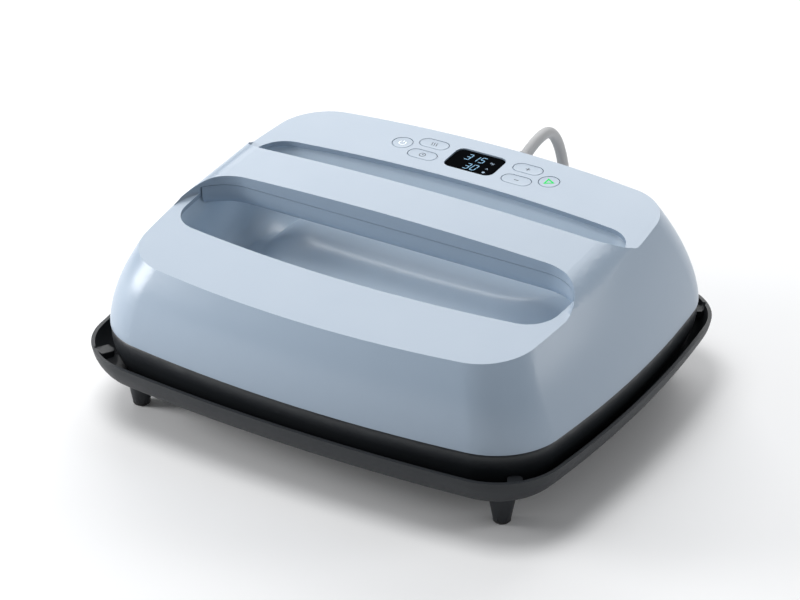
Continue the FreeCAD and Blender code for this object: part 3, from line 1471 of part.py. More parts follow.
relief_end = along_exit(boss_front + S.relief_collar)
block_place = Vector(terminal_x, power_board_row + terminal_y, board_top + S.terminal_height)
mains_route = [
    relief_end,
    relief_end - exit_direction * 8.0,
    Vector((relief_end.x + block_place.x) / 2, block_place.y + 3.0, relief_end.z - 12.0),
    block_place + Vector(0, 0, 12.0),
    block_place,
]
feature("mains_lead", tube(rounded_route(mains_route), S.lead_radius * 1.3))
heater_leads = []
for sx in (-1, 1):
    rod_top = Vector(sx * passes[-1], rise_y, terminal_top)
    far_side = Vector(sx * (S.power_board_width / 2 - S.lead_inset), power_board_row, board_top)
    route = [rod_top, rod_top + Vector(0, 0, 10.0), far_side + Vector(0, 0, 18.0), far_side]
    heater_leads.append(tube(rounded_route(route), S.lead_radius))
group("heater_leads", heater_leads)

ribbon_top = panel.multVec(Vector(0, 0, board_face - S.board_thickness - S.ribbon_thickness * S.rear_slope))
ribbon_foot = Vector(0, power_board_row - S.power_board_depth / 2 + 3.0, board_top)
ribbon_points = [
    (ribbon_top.y, ribbon_top.z),
    (ribbon_top.y, ribbon_foot.z + 20.0),
    (ribbon_foot.y, ribbon_foot.z + 12.0),
    (ribbon_foot.y, ribbon_foot.z),
]
ribbon_x = ribbon_left
outline = [Vector(ribbon_x, y - S.ribbon_thickness / 2, z) for y, z in ribbon_points]
outline += [Vector(ribbon_x, y + S.ribbon_thickness / 2, z) for y, z in reversed(ribbon_points)]
ribbon = Part.Face(Part.makePolygon(outline + outline[:1])).extrude(Vector(S.ribbon_width, 0, 0))
feature("panel_ribbon", ribbon)

# The press stands a little behind the middle of its base, and the cord goes with it.

BASE_PARTS = ("base_tray", "foot_pads", "rest_mat")
for label, obj in subparts.items():
    if label not in BASE_PARTS:
        obj.Placement = Placement(Vector(0, S.press_offset, 0), Rotation()).multiply(obj.Placement)

# Every feature has to be sound before anything is written.

doc.recompute()
faults = [obj.Label for obj in doc.Objects if "Invalid" in obj.State or "Error" in obj.State]
for label, obj in subparts.items():
    if obj.Shape.isNull() or not obj.Shape.isValid():
        faults.append(label)
if faults:
    raise RuntimeError(f"these did not build: {faults}")
for label, obj in subparts.items():
    obj.Shape.exportStep(f"parts/{label}.step")
print(len(subparts), "sub-parts")
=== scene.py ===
import json
import logging
import math
from collections.abc import Callable, Iterable, Sequence
from dataclasses import dataclass, field
from enum import Enum

import bmesh
import bpy
from mathutils import Matrix, Vector


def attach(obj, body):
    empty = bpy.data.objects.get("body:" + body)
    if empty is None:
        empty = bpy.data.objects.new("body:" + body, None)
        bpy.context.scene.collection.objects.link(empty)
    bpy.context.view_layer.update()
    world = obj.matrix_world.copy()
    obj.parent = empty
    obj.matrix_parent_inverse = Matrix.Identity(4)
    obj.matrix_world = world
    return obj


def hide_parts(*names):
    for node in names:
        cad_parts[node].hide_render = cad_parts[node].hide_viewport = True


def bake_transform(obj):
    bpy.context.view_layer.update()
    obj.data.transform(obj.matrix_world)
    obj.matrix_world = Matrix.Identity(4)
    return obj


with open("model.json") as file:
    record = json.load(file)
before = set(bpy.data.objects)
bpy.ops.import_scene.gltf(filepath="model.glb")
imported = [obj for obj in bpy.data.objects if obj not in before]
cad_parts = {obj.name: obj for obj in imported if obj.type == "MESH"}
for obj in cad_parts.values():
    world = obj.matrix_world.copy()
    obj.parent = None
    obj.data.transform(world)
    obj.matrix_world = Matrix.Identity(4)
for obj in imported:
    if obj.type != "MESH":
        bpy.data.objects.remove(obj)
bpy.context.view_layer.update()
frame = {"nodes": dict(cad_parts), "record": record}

log = logging.getLogger("heat_press")
MM = 0.001
WELD = 0.004 * MM
EVEN_WEIGHT = 80
PRESS, BASE = "press", "base"


# Shared shader effects: each is one node group, placed in every finish that uses it.


class Surface(Enum):
    """The family of finish that a material belongs to."""

    MOULDED = "moulded_surface"
    BRUSHED = "brushed_metal"
    WOVEN = "woven_cloth"


class Board:
    """A node tree with short ways to add nodes and join them."""

    def __init__(self, tree: bpy.types.NodeTree) -> None:
        """Keeps the tree that nodes are added to."""
        self.tree = tree

    def add(self, kind: str, **settings: object) -> bpy.types.Node:
        """Adds a node.

        Args:
            kind: Blender's name for the node type.
            settings: attributes of the node, or values of its inputs by name with spaces as underscores.

        Returns:
            The node.
        """
        node = self.tree.nodes.new(kind)
        for name, value in settings.items():
            if hasattr(node, name):
                setattr(node, name, value)
            else:
                node.inputs[name.replace("_", " ")].default_value = value
        return node

    def join(self, source: bpy.types.NodeSocket, target: bpy.types.NodeSocket) -> None:
        """Joins an output to an input."""
        self.tree.links.new(source, target)

    def math(self, operation: str, first: object, second: object = 0.0, third: object = 0.0) -> bpy.types.NodeSocket:
        """Adds a Math node.

        Args:
            operation: the Math node's operation.
            first: a socket or a number.
            second: a socket or a number.
            third: a socket or a number.

        Returns:
            The node's output.
        """
        node = self.tree.nodes.new("ShaderNodeMath")
        node.operation = operation
        for socket, value in zip(node.inputs, (first, second, third)):
            if isinstance(value, bpy.types.NodeSocket):
                self.join(value, socket)
            else:
                socket.default_value = float(value)
        return node.outputs[0]

    def noise(
        self, place: bpy.types.NodeSocket, scale: object, detail: float, roughness: float = 0.55
    ) -> bpy.types.NodeSocket:
        """Adds a noise texture.

        Args:
            place: the coordinates it reads.
            scale: its scale, a socket or a number.
            detail: its octaves.
            roughness: how strong the finer octaves are.

        Returns:
            Its value, about 0.5 on average.
        """
        node = self.add("ShaderNodeTexNoise", Detail=detail, Roughness=roughness)
        self.join(place, node.inputs["Vector"])
        if isinstance(scale, bpy.types.NodeSocket):
            self.join(scale, node.inputs["Scale"])
        else:
            node.inputs["Scale"].default_value = scale
        return node.outputs["Fac"]

    def shift(self, tone: bpy.types.NodeSocket, amount: bpy.types.NodeSocket) -> bpy.types.NodeSocket:
        """Brightens or darkens a colour by a signed amount.

        Args:
            tone: the colour.
            amount: what its brightness is changed by, about zero.

        Returns:
            The changed colour.
        """
        node = self.add("ShaderNodeHueSaturation")
        self.join(tone, node.inputs["Color"])
        self.join(self.math("ADD", amount, 1.0), node.inputs["Value"])
        return node.outputs["Color"]


Sockets = tuple[bpy.types.NodeSocket, ...]
Effect = Callable[[Board, dict[str, bpy.types.NodeSocket]], Sockets]


def effect_group(name: str, numbers: dict[str, float], build: Effect) -> bpy.types.NodeTree:
    """Builds a shared effect once, with the inputs and outputs that every effect here has.

    Args:
        name: the group's name.
        numbers: its number inputs and their starting values.
        build: takes the board and the group's inputs, and returns its colour, roughness and height.

    Returns:
        The shader node group.
    """
    if name in bpy.data.node_groups:
        return bpy.data.node_groups[name]
    tree = bpy.data.node_groups.new(name, "ShaderNodeTree")
    tree.interface.new_socket("Place", in_out="INPUT", socket_type="NodeSocketVector")
    tree.interface.new_socket("Tone", in_out="INPUT", socket_type="NodeSocketColor")
    for label, value in numbers.items():
        tree.interface.new_socket(label, in_out="INPUT", socket_type="NodeSocketFloat").default_value = value
    tree.interface.new_socket("Color", in_out="OUTPUT", socket_type="NodeSocketColor")
    tree.interface.new_socket("Roughness", in_out="OUTPUT", socket_type="NodeSocketFloat")
    tree.interface.new_socket("Height", in_out="OUTPUT", socket_type="NodeSocketFloat")
    board = Board(tree)
    entry, leave = board.add("NodeGroupInput"), board.add("NodeGroupOutput")
    for result, socket in zip(build(board, {s.name: s for s in entry.outputs}), leave.inputs):
        board.join(result, socket)
    return tree


NUMBERS = {"Tone shift": 0.03, "Roughness": 0.4, "Spread": 0.08, "Grain": 900.0}


def moulded(board: Board, given: dict[str, bpy.types.NodeSocket]) -> Sockets:
    """Moulded plastic, rubber or enamel: a fine spark-eroded grain, and slow drifts of tone and gloss.

    Args:
        board: the group's board.
        given: the group's inputs.

    Returns:
        Colour, roughness and height.
    """
    grain = board.noise(given["Place"], given["Grain"], 2.0)
    drift = board.noise(given["Place"], 14.0, 3.0)
    handled = board.noise(given["Place"], 55.0, 4.0, 0.62)
    slow = board.math("SUBTRACT", drift, 0.5)
    fine = board.math("SUBTRACT", grain, 0.5)
    mixed = board.math("MULTIPLY_ADD", fine, 0.5, slow)
    colour = board.shift(given["Tone"], board.math("MULTIPLY", mixed, given["Tone shift"]))
    rub = board.math("SUBTRACT", handled, 0.5)
    rough = board.math("MULTIPLY_ADD", board.math("ADD", rub, slow), given["Spread"], given["Roughness"])
    return colour, rough, grain


def brushed(board: Board, given: dict[str, bpy.types.NodeSocket]) -> Sockets:
    """Rolled or brushed metal: streaks along X, and slow drifts of tone.

    Args:
        board: the group's board.
        given: the group's inputs.

    Returns:
        Colour, roughness and height.
    """
    stretch = board.add("ShaderNodeMapping")
    stretch.inputs["Scale"].default_value = (0.04, 1.0, 1.0)
    board.join(given["Place"], stretch.inputs["Vector"])
    streak = board.noise(stretch.outputs["Vector"], given["Grain"], 3.0)
    slow = board.noise(given["Place"], 25.0, 3.0)
    both = board.math("MULTIPLY", board.math("ADD", streak, slow), 0.5)
    signed = board.math("SUBTRACT", both, 0.5)
    colour = board.shift(given["Tone"], board.math("MULTIPLY", signed, given["Tone shift"]))
    return colour, board.math("MULTIPLY_ADD", signed, given["Spread"], given["Roughness"]), streak


def woven(board: Board, given: dict[str, bpy.types.NodeSocket]) -> Sockets:
    """Woven or needled cloth: crossing threads, with some thicker than others.

    Args:
        board: the group's board.
        given: the group's inputs.

    Returns:
        Colour, roughness and height.
    """
    threads = []
    for axis in ("X", "Y"):
        wave = board.add("ShaderNodeTexWave", bands_direction=axis, Distortion=0.6)
        board.join(given["Place"], wave.inputs["Vector"])
        board.join(given["Grain"], wave.inputs["Scale"])
        threads.append(wave.outputs["Fac"])
    weave = board.math("MULTIPLY", board.math("ADD", *threads), 0.5)
    slub = board.noise(given["Place"], 160.0, 3.0)
    height = board.math("MULTIPLY_ADD", slub, 0.5, weave)
    signed = board.math("SUBTRACT", height, 0.75)
    colour = board.shift(given["Tone"], board.math("MULTIPLY", signed, given["Tone shift"]))
    return colour, board.math("MULTIPLY_ADD", signed, given["Spread"], given["Roughness"]), height


EFFECTS = {Surface.MOULDED: moulded, Surface.BRUSHED: brushed, Surface.WOVEN: woven}


@dataclass(frozen=True)
class Finish:
    """A finish of the press: its colour, and how its surface varies.

    Roughness and tone drift by their spreads. Grain is in cycles per metre, and depth is the grain's height in metres.
    """

    name: str
    tone: tuple[float, float, float]
    surface: Surface = Surface.MOULDED
    tone_shift: float = 0.05
    roughness: float = 0.45
    spread: float = 0.10
    grain: float = 1400.0
    depth: float = 0.00003
    metallic: float = 0.0
    coat: float = 0.0
    coat_roughness: float = 0.15
    specular: float = 0.5
    sheen: float = 0.0
    glow: float = 0.0

    def material(self) -> bpy.types.Material:
        """The finish as a material, made the first time that it is asked for."""
        label = self.name + "_finish"
        if label in bpy.data.materials:
            return bpy.data.materials[label]
        made = bpy.data.materials.new(label)
        made.use_nodes = True
        made.diffuse_color = (*self.tone, 1.0)
        board = Board(made.node_tree)
        made.node_tree.nodes.clear()
        place = board.add("ShaderNodeTexCoord")
        group = board.add("ShaderNodeGroup")
        group.node_tree = effect_group(self.surface.value, NUMBERS, EFFECTS[self.surface])
        group.inputs["Tone"].default_value = (*self.tone, 1.0)
        group.inputs["Tone shift"].default_value = self.tone_shift
        group.inputs["Roughness"].default_value = self.roughness
        group.inputs["Spread"].default_value = self.spread
        group.inputs["Grain"].default_value = self.grain
        shader = board.add("ShaderNodeBsdfPrincipled")
        bump = board.add("ShaderNodeBump", Strength=0.5, Distance=self.depth)
        output = board.add("ShaderNodeOutputMaterial")
        board.join(place.outputs["Object"], group.inputs["Place"])
        board.join(group.outputs["Color"], shader.inputs["Base Color"])
        board.join(group.outputs["Roughness"], shader.inputs["Roughness"])
        board.join(group.outputs["Height"], bump.inputs["Height"])
        board.join(bump.outputs["Normal"], shader.inputs["Normal"])
        shader.inputs["Metallic"].default_value = self.metallic
        shader.inputs["Coat Weight"].default_value = self.coat
        shader.inputs["Coat Roughness"].default_value = self.coat_roughness
        shader.inputs["Specular IOR Level"].default_value = self.specular
        shader.inputs["Sheen Weight"].default_value = self.sheen
        if self.glow:
            board.join(group.outputs["Color"], shader.inputs["Emission Color"])
            shader.inputs["Emission Strength"].default_value = self.glow
        board.join(shader.outputs["BSDF"], output.inputs["Surface"])
        return made


FINISHES: dict[str, Finish] = {
    finish.name: finish
    for finish in (
        Finish(
            "shell_blue", (0.315, 0.395, 0.492), roughness=0.34, spread=0.10, tone_shift=0.03, grain=1700.0,
            depth=0.00002, coat=0.25, coat_roughness=0.25,
        ),
        Finish(
            "key_blue", (0.315, 0.395, 0.492), roughness=0.34, spread=0.08, tone_shift=0.03, grain=1900.0,
            depth=0.00001, coat=0.2, coat_roughness=0.15,
        ),
        # The hand well's liner is the shell's blue made much lighter. This is painted light, standing in for the light
        # that falls into the well and onto its mound.
        Finish(
            "well_blue", (0.56, 0.66, 0.76), roughness=0.34, spread=0.10, tone_shift=0.03, grain=1700.0,
            depth=0.00002, coat=0.25, coat_roughness=0.25,
        ),
        Finish("skirt_charcoal", (0.018, 0.021, 0.025), roughness=0.42, tone_shift=0.2),
        Finish("tray_charcoal", (0.019, 0.022, 0.026), roughness=0.50, tone_shift=0.15, depth=0.00005, specular=0.34),
        Finish("foot_rubber", (0.022, 0.022, 0.023), roughness=0.78, tone_shift=0.25),
        Finish(
            "mat_fabric", (0.16, 0.165, 0.17), Surface.WOVEN, tone_shift=0.5, roughness=0.9, grain=260.0,
            depth=0.0002, sheen=0.2,
        ),
        Finish("plate_coating", (0.30, 0.29, 0.28), roughness=0.34, tone_shift=0.12, metallic=0.7),
        Finish("rod_steel", (0.34, 0.32, 0.29), Surface.BRUSHED, roughness=0.38, metallic=1.0, tone_shift=0.3),
        Finish("ceramic_white", (0.80, 0.78, 0.72), roughness=0.42, tone_shift=0.06),
        Finish(
            "blanket_fibre", (0.72, 0.70, 0.64), Surface.WOVEN, tone_shift=0.3, roughness=0.95, grain=180.0,
            depth=0.0006, sheen=0.3,
        ),
        Finish("shield_foil", (0.72, 0.73, 0.74), Surface.BRUSHED, roughness=0.28, metallic=1.0, tone_shift=0.15),
        Finish("chassis_steel", (0.46, 0.47, 0.47), Surface.BRUSHED, roughness=0.42, metallic=1.0, tone_shift=0.2),
        Finish("screw_steel", (0.50, 0.50, 0.51), Surface.BRUSHED, roughness=0.33, metallic=1.0, tone_shift=0.15),
        Finish("cutoff_shell", (0.10, 0.06, 0.035), roughness=0.5, tone_shift=0.2),
        Finish("board_green", (0.018, 0.13, 0.055), roughness=0.38, tone_shift=0.25, coat=0.4),
        Finish("part_black", (0.016, 0.016, 0.017), roughness=0.45, tone_shift=0.3),
        Finish("part_blue", (0.02, 0.08, 0.32), roughness=0.4, tone_shift=0.15),
        Finish("part_green", (0.03, 0.25, 0.12), roughness=0.4, tone_shift=0.15),
        Finish("core_steel", (0.22, 0.22, 0.22), Surface.BRUSHED, roughness=0.45, metallic=0.9, tone_shift=0.3),
        Finish("can_aluminium", (0.55, 0.56, 0.58), Surface.BRUSHED, roughness=0.32, metallic=1.0, tone_shift=0.12),
        Finish("sink_aluminium", (0.40, 0.41, 0.42), Surface.BRUSHED, roughness=0.4, metallic=1.0, tone_shift=0.2),
        Finish("pad_rubber", (0.30, 0.31, 0.33), roughness=0.7, tone_shift=0.12),
        Finish(
            "lens_black", (0.0035, 0.0038, 0.0045), roughness=0.10, spread=0.04, tone_shift=0.3,
            depth=0.000002, specular=0.0,
        ),
        Finish("module_white", (0.70, 0.71, 0.72), roughness=0.5, tone_shift=0.08),
        Finish("cord_grey", (0.39, 0.393, 0.40), roughness=0.46, tone_shift=0.08, grain=700.0, depth=0.00004),
        Finish("relief_grey", (0.37, 0.375, 0.385), roughness=0.5, tone_shift=0.08),
        Finish("blade_metal", (0.62, 0.54, 0.34), Surface.BRUSHED, roughness=0.26, metallic=1.0, tone_shift=0.1),
        Finish("lead_white", (0.74, 0.73, 0.70), Surface.WOVEN, roughness=0.7, grain=900.0, tone_shift=0.15),
        Finish("lead_grey", (0.42, 0.44, 0.47), roughness=0.5, tone_shift=0.1),
        Finish("ribbon_grey", (0.36, 0.37, 0.39), Surface.BRUSHED, roughness=0.5, grain=1600.0, tone_shift=0.3),
    )
}
DIGIT_LIGHT = Finish("digit_light", (0.20, 0.42, 0.62), roughness=0.5, tone_shift=0.05, glow=0.5)
MARK_LIGHT = Finish("mark_light", (0.26, 0.36, 0.48), roughness=0.5, tone_shift=0.05, glow=0.25)
START_LIGHT = Finish("start_light", (0.0, 0.52, 0.085), roughness=0.6, tone_shift=0.05, specular=0.1, glow=0.42)
POWER_LIGHT = Finish("power_light", (0.90, 0.93, 0.97), roughness=0.4, tone_shift=0.02, glow=0.3)
LEGEND = Finish("legend_grey", (0.022, 0.032, 0.048), roughness=0.5, tone_shift=0.1)


# Ways of making meshes.


def piece_from(name: str, mesh: bpy.types.Mesh, finish: Finish) -> bpy.types.Object:
    """Makes a mesh a piece of the press, with its finish.

    Args:
        name: the piece's name.
        mesh: its mesh, in place.
        finish: its finish.

    Returns:
        The object.
    """
    mesh.name = name
    mesh.materials.clear()
    mesh.materials.append(finish.material())
    made = bpy.data.objects.new(name, mesh)
    bpy.context.scene.collection.objects.link(made)
    log.info("%s: %d faces", name, len(mesh.polygons))
    return made


def mesh_of(form: bmesh.types.BMesh, sharp: float | None = 30.0) -> bpy.types.Mesh:
    """Turns a bmesh into a mesh, with smooth shading up to an angle.

    Args:
        form: the bmesh, which is freed.
        sharp: edges sharper than this many degrees stay crisp, or None for flat faces.

    Returns:
        The mesh.
    """
    mesh = bpy.data.meshes.new("form")
    form.to_mesh(mesh)
    form.free()
    if sharp is not None:
        mesh.polygons.foreach_set("use_smooth", [True] * len(mesh.polygons))
        mesh.set_sharp_from_angle(angle=math.radians(sharp))
    return mesh


def dressed_copy(
    node: str, name: str, body: str, slot: str, sharp: float = 28.0, finish: str = ""
) -> bpy.types.Object:
    """A merged, smoothly shaded copy of a CAD node that stands for it.

    Args:
        node: the CAD node.
        name: the new piece's name.
        body: the CAD body that it rides on.
        slot: its material slot, which also names its finish.
        sharp: edges sharper than this many degrees stay crisp.
        finish: the finish's name where it isn't the slot's.

    Returns:
        The piece.
    """
    form = bmesh.new()
    form.from_mesh(frame["nodes"][node].data)
    bmesh.ops.remove_doubles(form, verts=form.verts, dist=WELD)
    made = piece_from(name, mesh_of(form, sharp), FINISHES[finish or slot])
    even = made.modifiers.new("even_shading", "WEIGHTED_NORMAL")
    even.keep_sharp = True
    even.weight = EVEN_WEIGHT
    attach(made, body)
    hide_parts(node)
    return made


def rounded_outline(
    width: float, depth: float, corner: float, margin: float = 0.0, steps: int = 12
) -> list[Vector]:
    """A rounded rectangle's outline, the same number of points at any margin.

    Args:
        width: across X.
        depth: across Y.
        corner: radius of the corners.
        margin: how far the outline is moved outwards, or inwards if negative.
        steps: points in each corner.

    Returns:
        The points, counter-clockwise.
    """
    radius = max(corner + margin, 0.00001)
    points = []
    for quarter, (x, y) in enumerate(((1, 1), (-1, 1), (-1, -1), (1, -1))):
        for step in range(steps + 1):
            angle = math.pi / 2 * (quarter + step / steps)
            points.append(
                Vector((
                    x * (width / 2 - corner) + radius * math.cos(angle),
                    y * (depth / 2 - corner) + radius * math.sin(angle),
                    0.0,
                ))
            )
    return points


def stacked(
    rings: Sequence[tuple[float, float]], outline: Callable[[float], list[Vector]], place: Matrix
) -> bmesh.types.BMesh:
    """A closed form through a stack of outlines.

    Args:
        rings: the margin and height of each outline, from the lowest.
        outline: gives the outline at a margin.
        place: where the form stands.

    Returns:
        The bmesh, closed at both ends.
    """
    form = bmesh.new()
    loops = []
    for margin, height in rings:
        loops.append([form.verts.new(place @ (point + Vector((0, 0, height)))) for point in outline(margin)])
    for lower, upper in zip(loops, loops[1:]):
        for a in range(len(lower)):
            b = (a + 1) % len(lower)
            form.faces.new((lower[a], lower[b], upper[b], upper[a]))
    form.faces.new(list(reversed(loops[0])))
    form.faces.new(loops[-1])
    bmesh.ops.recalc_face_normals(form, faces=form.faces)
    return form


def stroke(
    form: bmesh.types.BMesh,
    points: Sequence[tuple[float, float]],
    width: float,
    height: float,
    place: Matrix,
    closed: bool = False,
) -> None:
    """Adds a raised line of even width along flat points.

    Args:
        form: the bmesh that it goes in.
        points: the line's middle, in the place's own plane.
        width: the line's width.
        height: how far it stands up.
        place: where the plane is.
        closed: whether the line ends where it starts.
    """
    line = [Vector((x, y)) for x, y in points]
    count = len(line)
    sides: list[tuple[Vector, Vector]] = []
    for number, point in enumerate(line):
        before = line[number - 1] if number or closed else point
        after = line[(number + 1) % count] if number + 1 < count or closed else point
        first = (point - before).normalized() if (point - before).length else (after - point).normalized()
        second = (after - point).normalized() if (after - point).length else first
        along = (first + second).normalized()
        across = Vector((-along.y, along.x))
        reach = width / 2 / max(across.dot(Vector((-first.y, first.x))), 0.4)
        sides.append((point + across * reach, point - across * reach))
    corners = [
        [form.verts.new(place @ Vector((p.x, p.y, level))) for p in pair for level in (0.0, height)] for pair in sides
    ]
    stop = count if closed else count - 1
    for number in range(stop):
        a, b = corners[number], corners[(number + 1) % count]
        for one, two in ((0, 1), (1, 3), (3, 2), (2, 0)):
            form.faces.new((a[one], a[two], b[two], b[one]))
    if not closed:
        for end in (corners[0], corners[-1]):
            form.faces.new((end[0], end[1], end[3], end[2]))


def lathe(profile: Sequence[tuple[float, float]], place: Matrix, sides: int = 48) -> bmesh.types.BMesh:
    """A closed turned form.

    Args:
        profile: distance along the axis and radius, from one end to the other.
        place: its axis is the local Z.
        sides: faces round it.

    Returns:
        The bmesh.
    """
    form = bmesh.new()
    loops = []
    for level, radius in profile:
        loops.append([
            form.verts.new(place @ Vector((radius * math.cos(turn), radius * math.sin(turn), level)))
            for turn in (2 * math.pi * side / sides for side in range(sides))
        ])
    for lower, upper in zip(loops, loops[1:]):
        for a in range(sides):
            b = (a + 1) % sides
            form.faces.new((lower[a], lower[b], upper[b], upper[a]))
    form.faces.new(list(reversed(loops[0])))
    form.faces.new(loops[-1])
    bmesh.ops.recalc_face_normals(form, faces=form.faces)
    return form


def axes_at(origin: Vector, along: Vector, upward: Vector) -> Matrix:
    """A frame whose Z runs along a direction and whose Y is as near upward as it can be.

    Args:
        origin: where the frame is.
        along: its Z.
        upward: what its Y leans to.

    Returns:
        The frame as a matrix.
    """
    z = along.normalized()
    x = upward.cross(z).normalized()
    y = z.cross(x)
    return Matrix.Translation(origin) @ Matrix((x, y, z)).transposed().to_4x4()


class Repeater:
    """A Geometry Nodes tree that sets copies of a small form along a line, with named inputs."""

    def __init__(self, name: str, numbers: dict[str, float]) -> None:
        """Starts the tree.

        Args:
            name: the tree's name.
            numbers: its inputs and their starting values.
        """
        self.tree = bpy.data.node_groups.new(name, "GeometryNodeTree")
        self.tree.interface.new_socket("Geometry", in_out="INPUT", socket_type="NodeSocketGeometry")
        self.sockets = {
            label: self.tree.interface.new_socket(
                label, in_out="INPUT", socket_type="NodeSocketInt" if isinstance(value, int) else "NodeSocketFloat"
            )
            for label, value in numbers.items()
        }
        self.tree.interface.new_socket("Finish", in_out="INPUT", socket_type="NodeSocketMaterial")
        self.tree.interface.new_socket("Geometry", in_out="OUTPUT", socket_type="NodeSocketGeometry")
        self.values = numbers
        self.board = Board(self.tree)
        self.entry = self.board.add("NodeGroupInput")
        self.leave = self.board.add("NodeGroupOutput")

    def close(self, form: bpy.types.NodeSocket) -> None:
        """Ends the tree in Realize Instances and Set Material."""
        real = self.board.add("GeometryNodeRealizeInstances")
        paint = self.board.add("GeometryNodeSetMaterial")
        self.board.join(form, real.inputs["Geometry"])
        self.board.join(real.outputs["Geometry"], paint.inputs["Geometry"])
        self.board.join(self.entry.outputs["Finish"], paint.inputs["Material"])
        self.board.join(paint.outputs["Geometry"], self.leave.inputs["Geometry"])

    def mesh(self, finish: Finish, sharp: float = 30.0) -> bpy.types.Mesh:
        """Runs the tree.

        Args:
            finish: the finish that Set Material gives.
            sharp: edges sharper than this many degrees stay crisp.

        Returns:
            The result as a plain mesh.
        """
        holder = bpy.data.objects.new("holder", bpy.data.meshes.new("holder"))
        bpy.context.scene.collection.objects.link(holder)
        modifier = holder.modifiers.new("repeat", "NODES")
        modifier.node_group = self.tree
        for item in self.tree.interface.items_tree:
            if item.item_type == "SOCKET" and item.in_out == "INPUT":
                if item.name in self.values:
                    modifier[item.identifier] = self.values[item.name]
                elif item.name == "Finish":
                    modifier[item.identifier] = finish.material()
        holder.update_tag()
        depsgraph = bpy.context.evaluated_depsgraph_get()
        made = bpy.data.meshes.new_from_object(holder.evaluated_get(depsgraph))
        holder.modifiers.clear()
        bpy.data.objects.remove(holder)
        made.polygons.foreach_set("use_smooth", [True] * len(made.polygons))
        made.set_sharp_from_angle(angle=math.radians(sharp))
        return made


# The sub-assemblies.


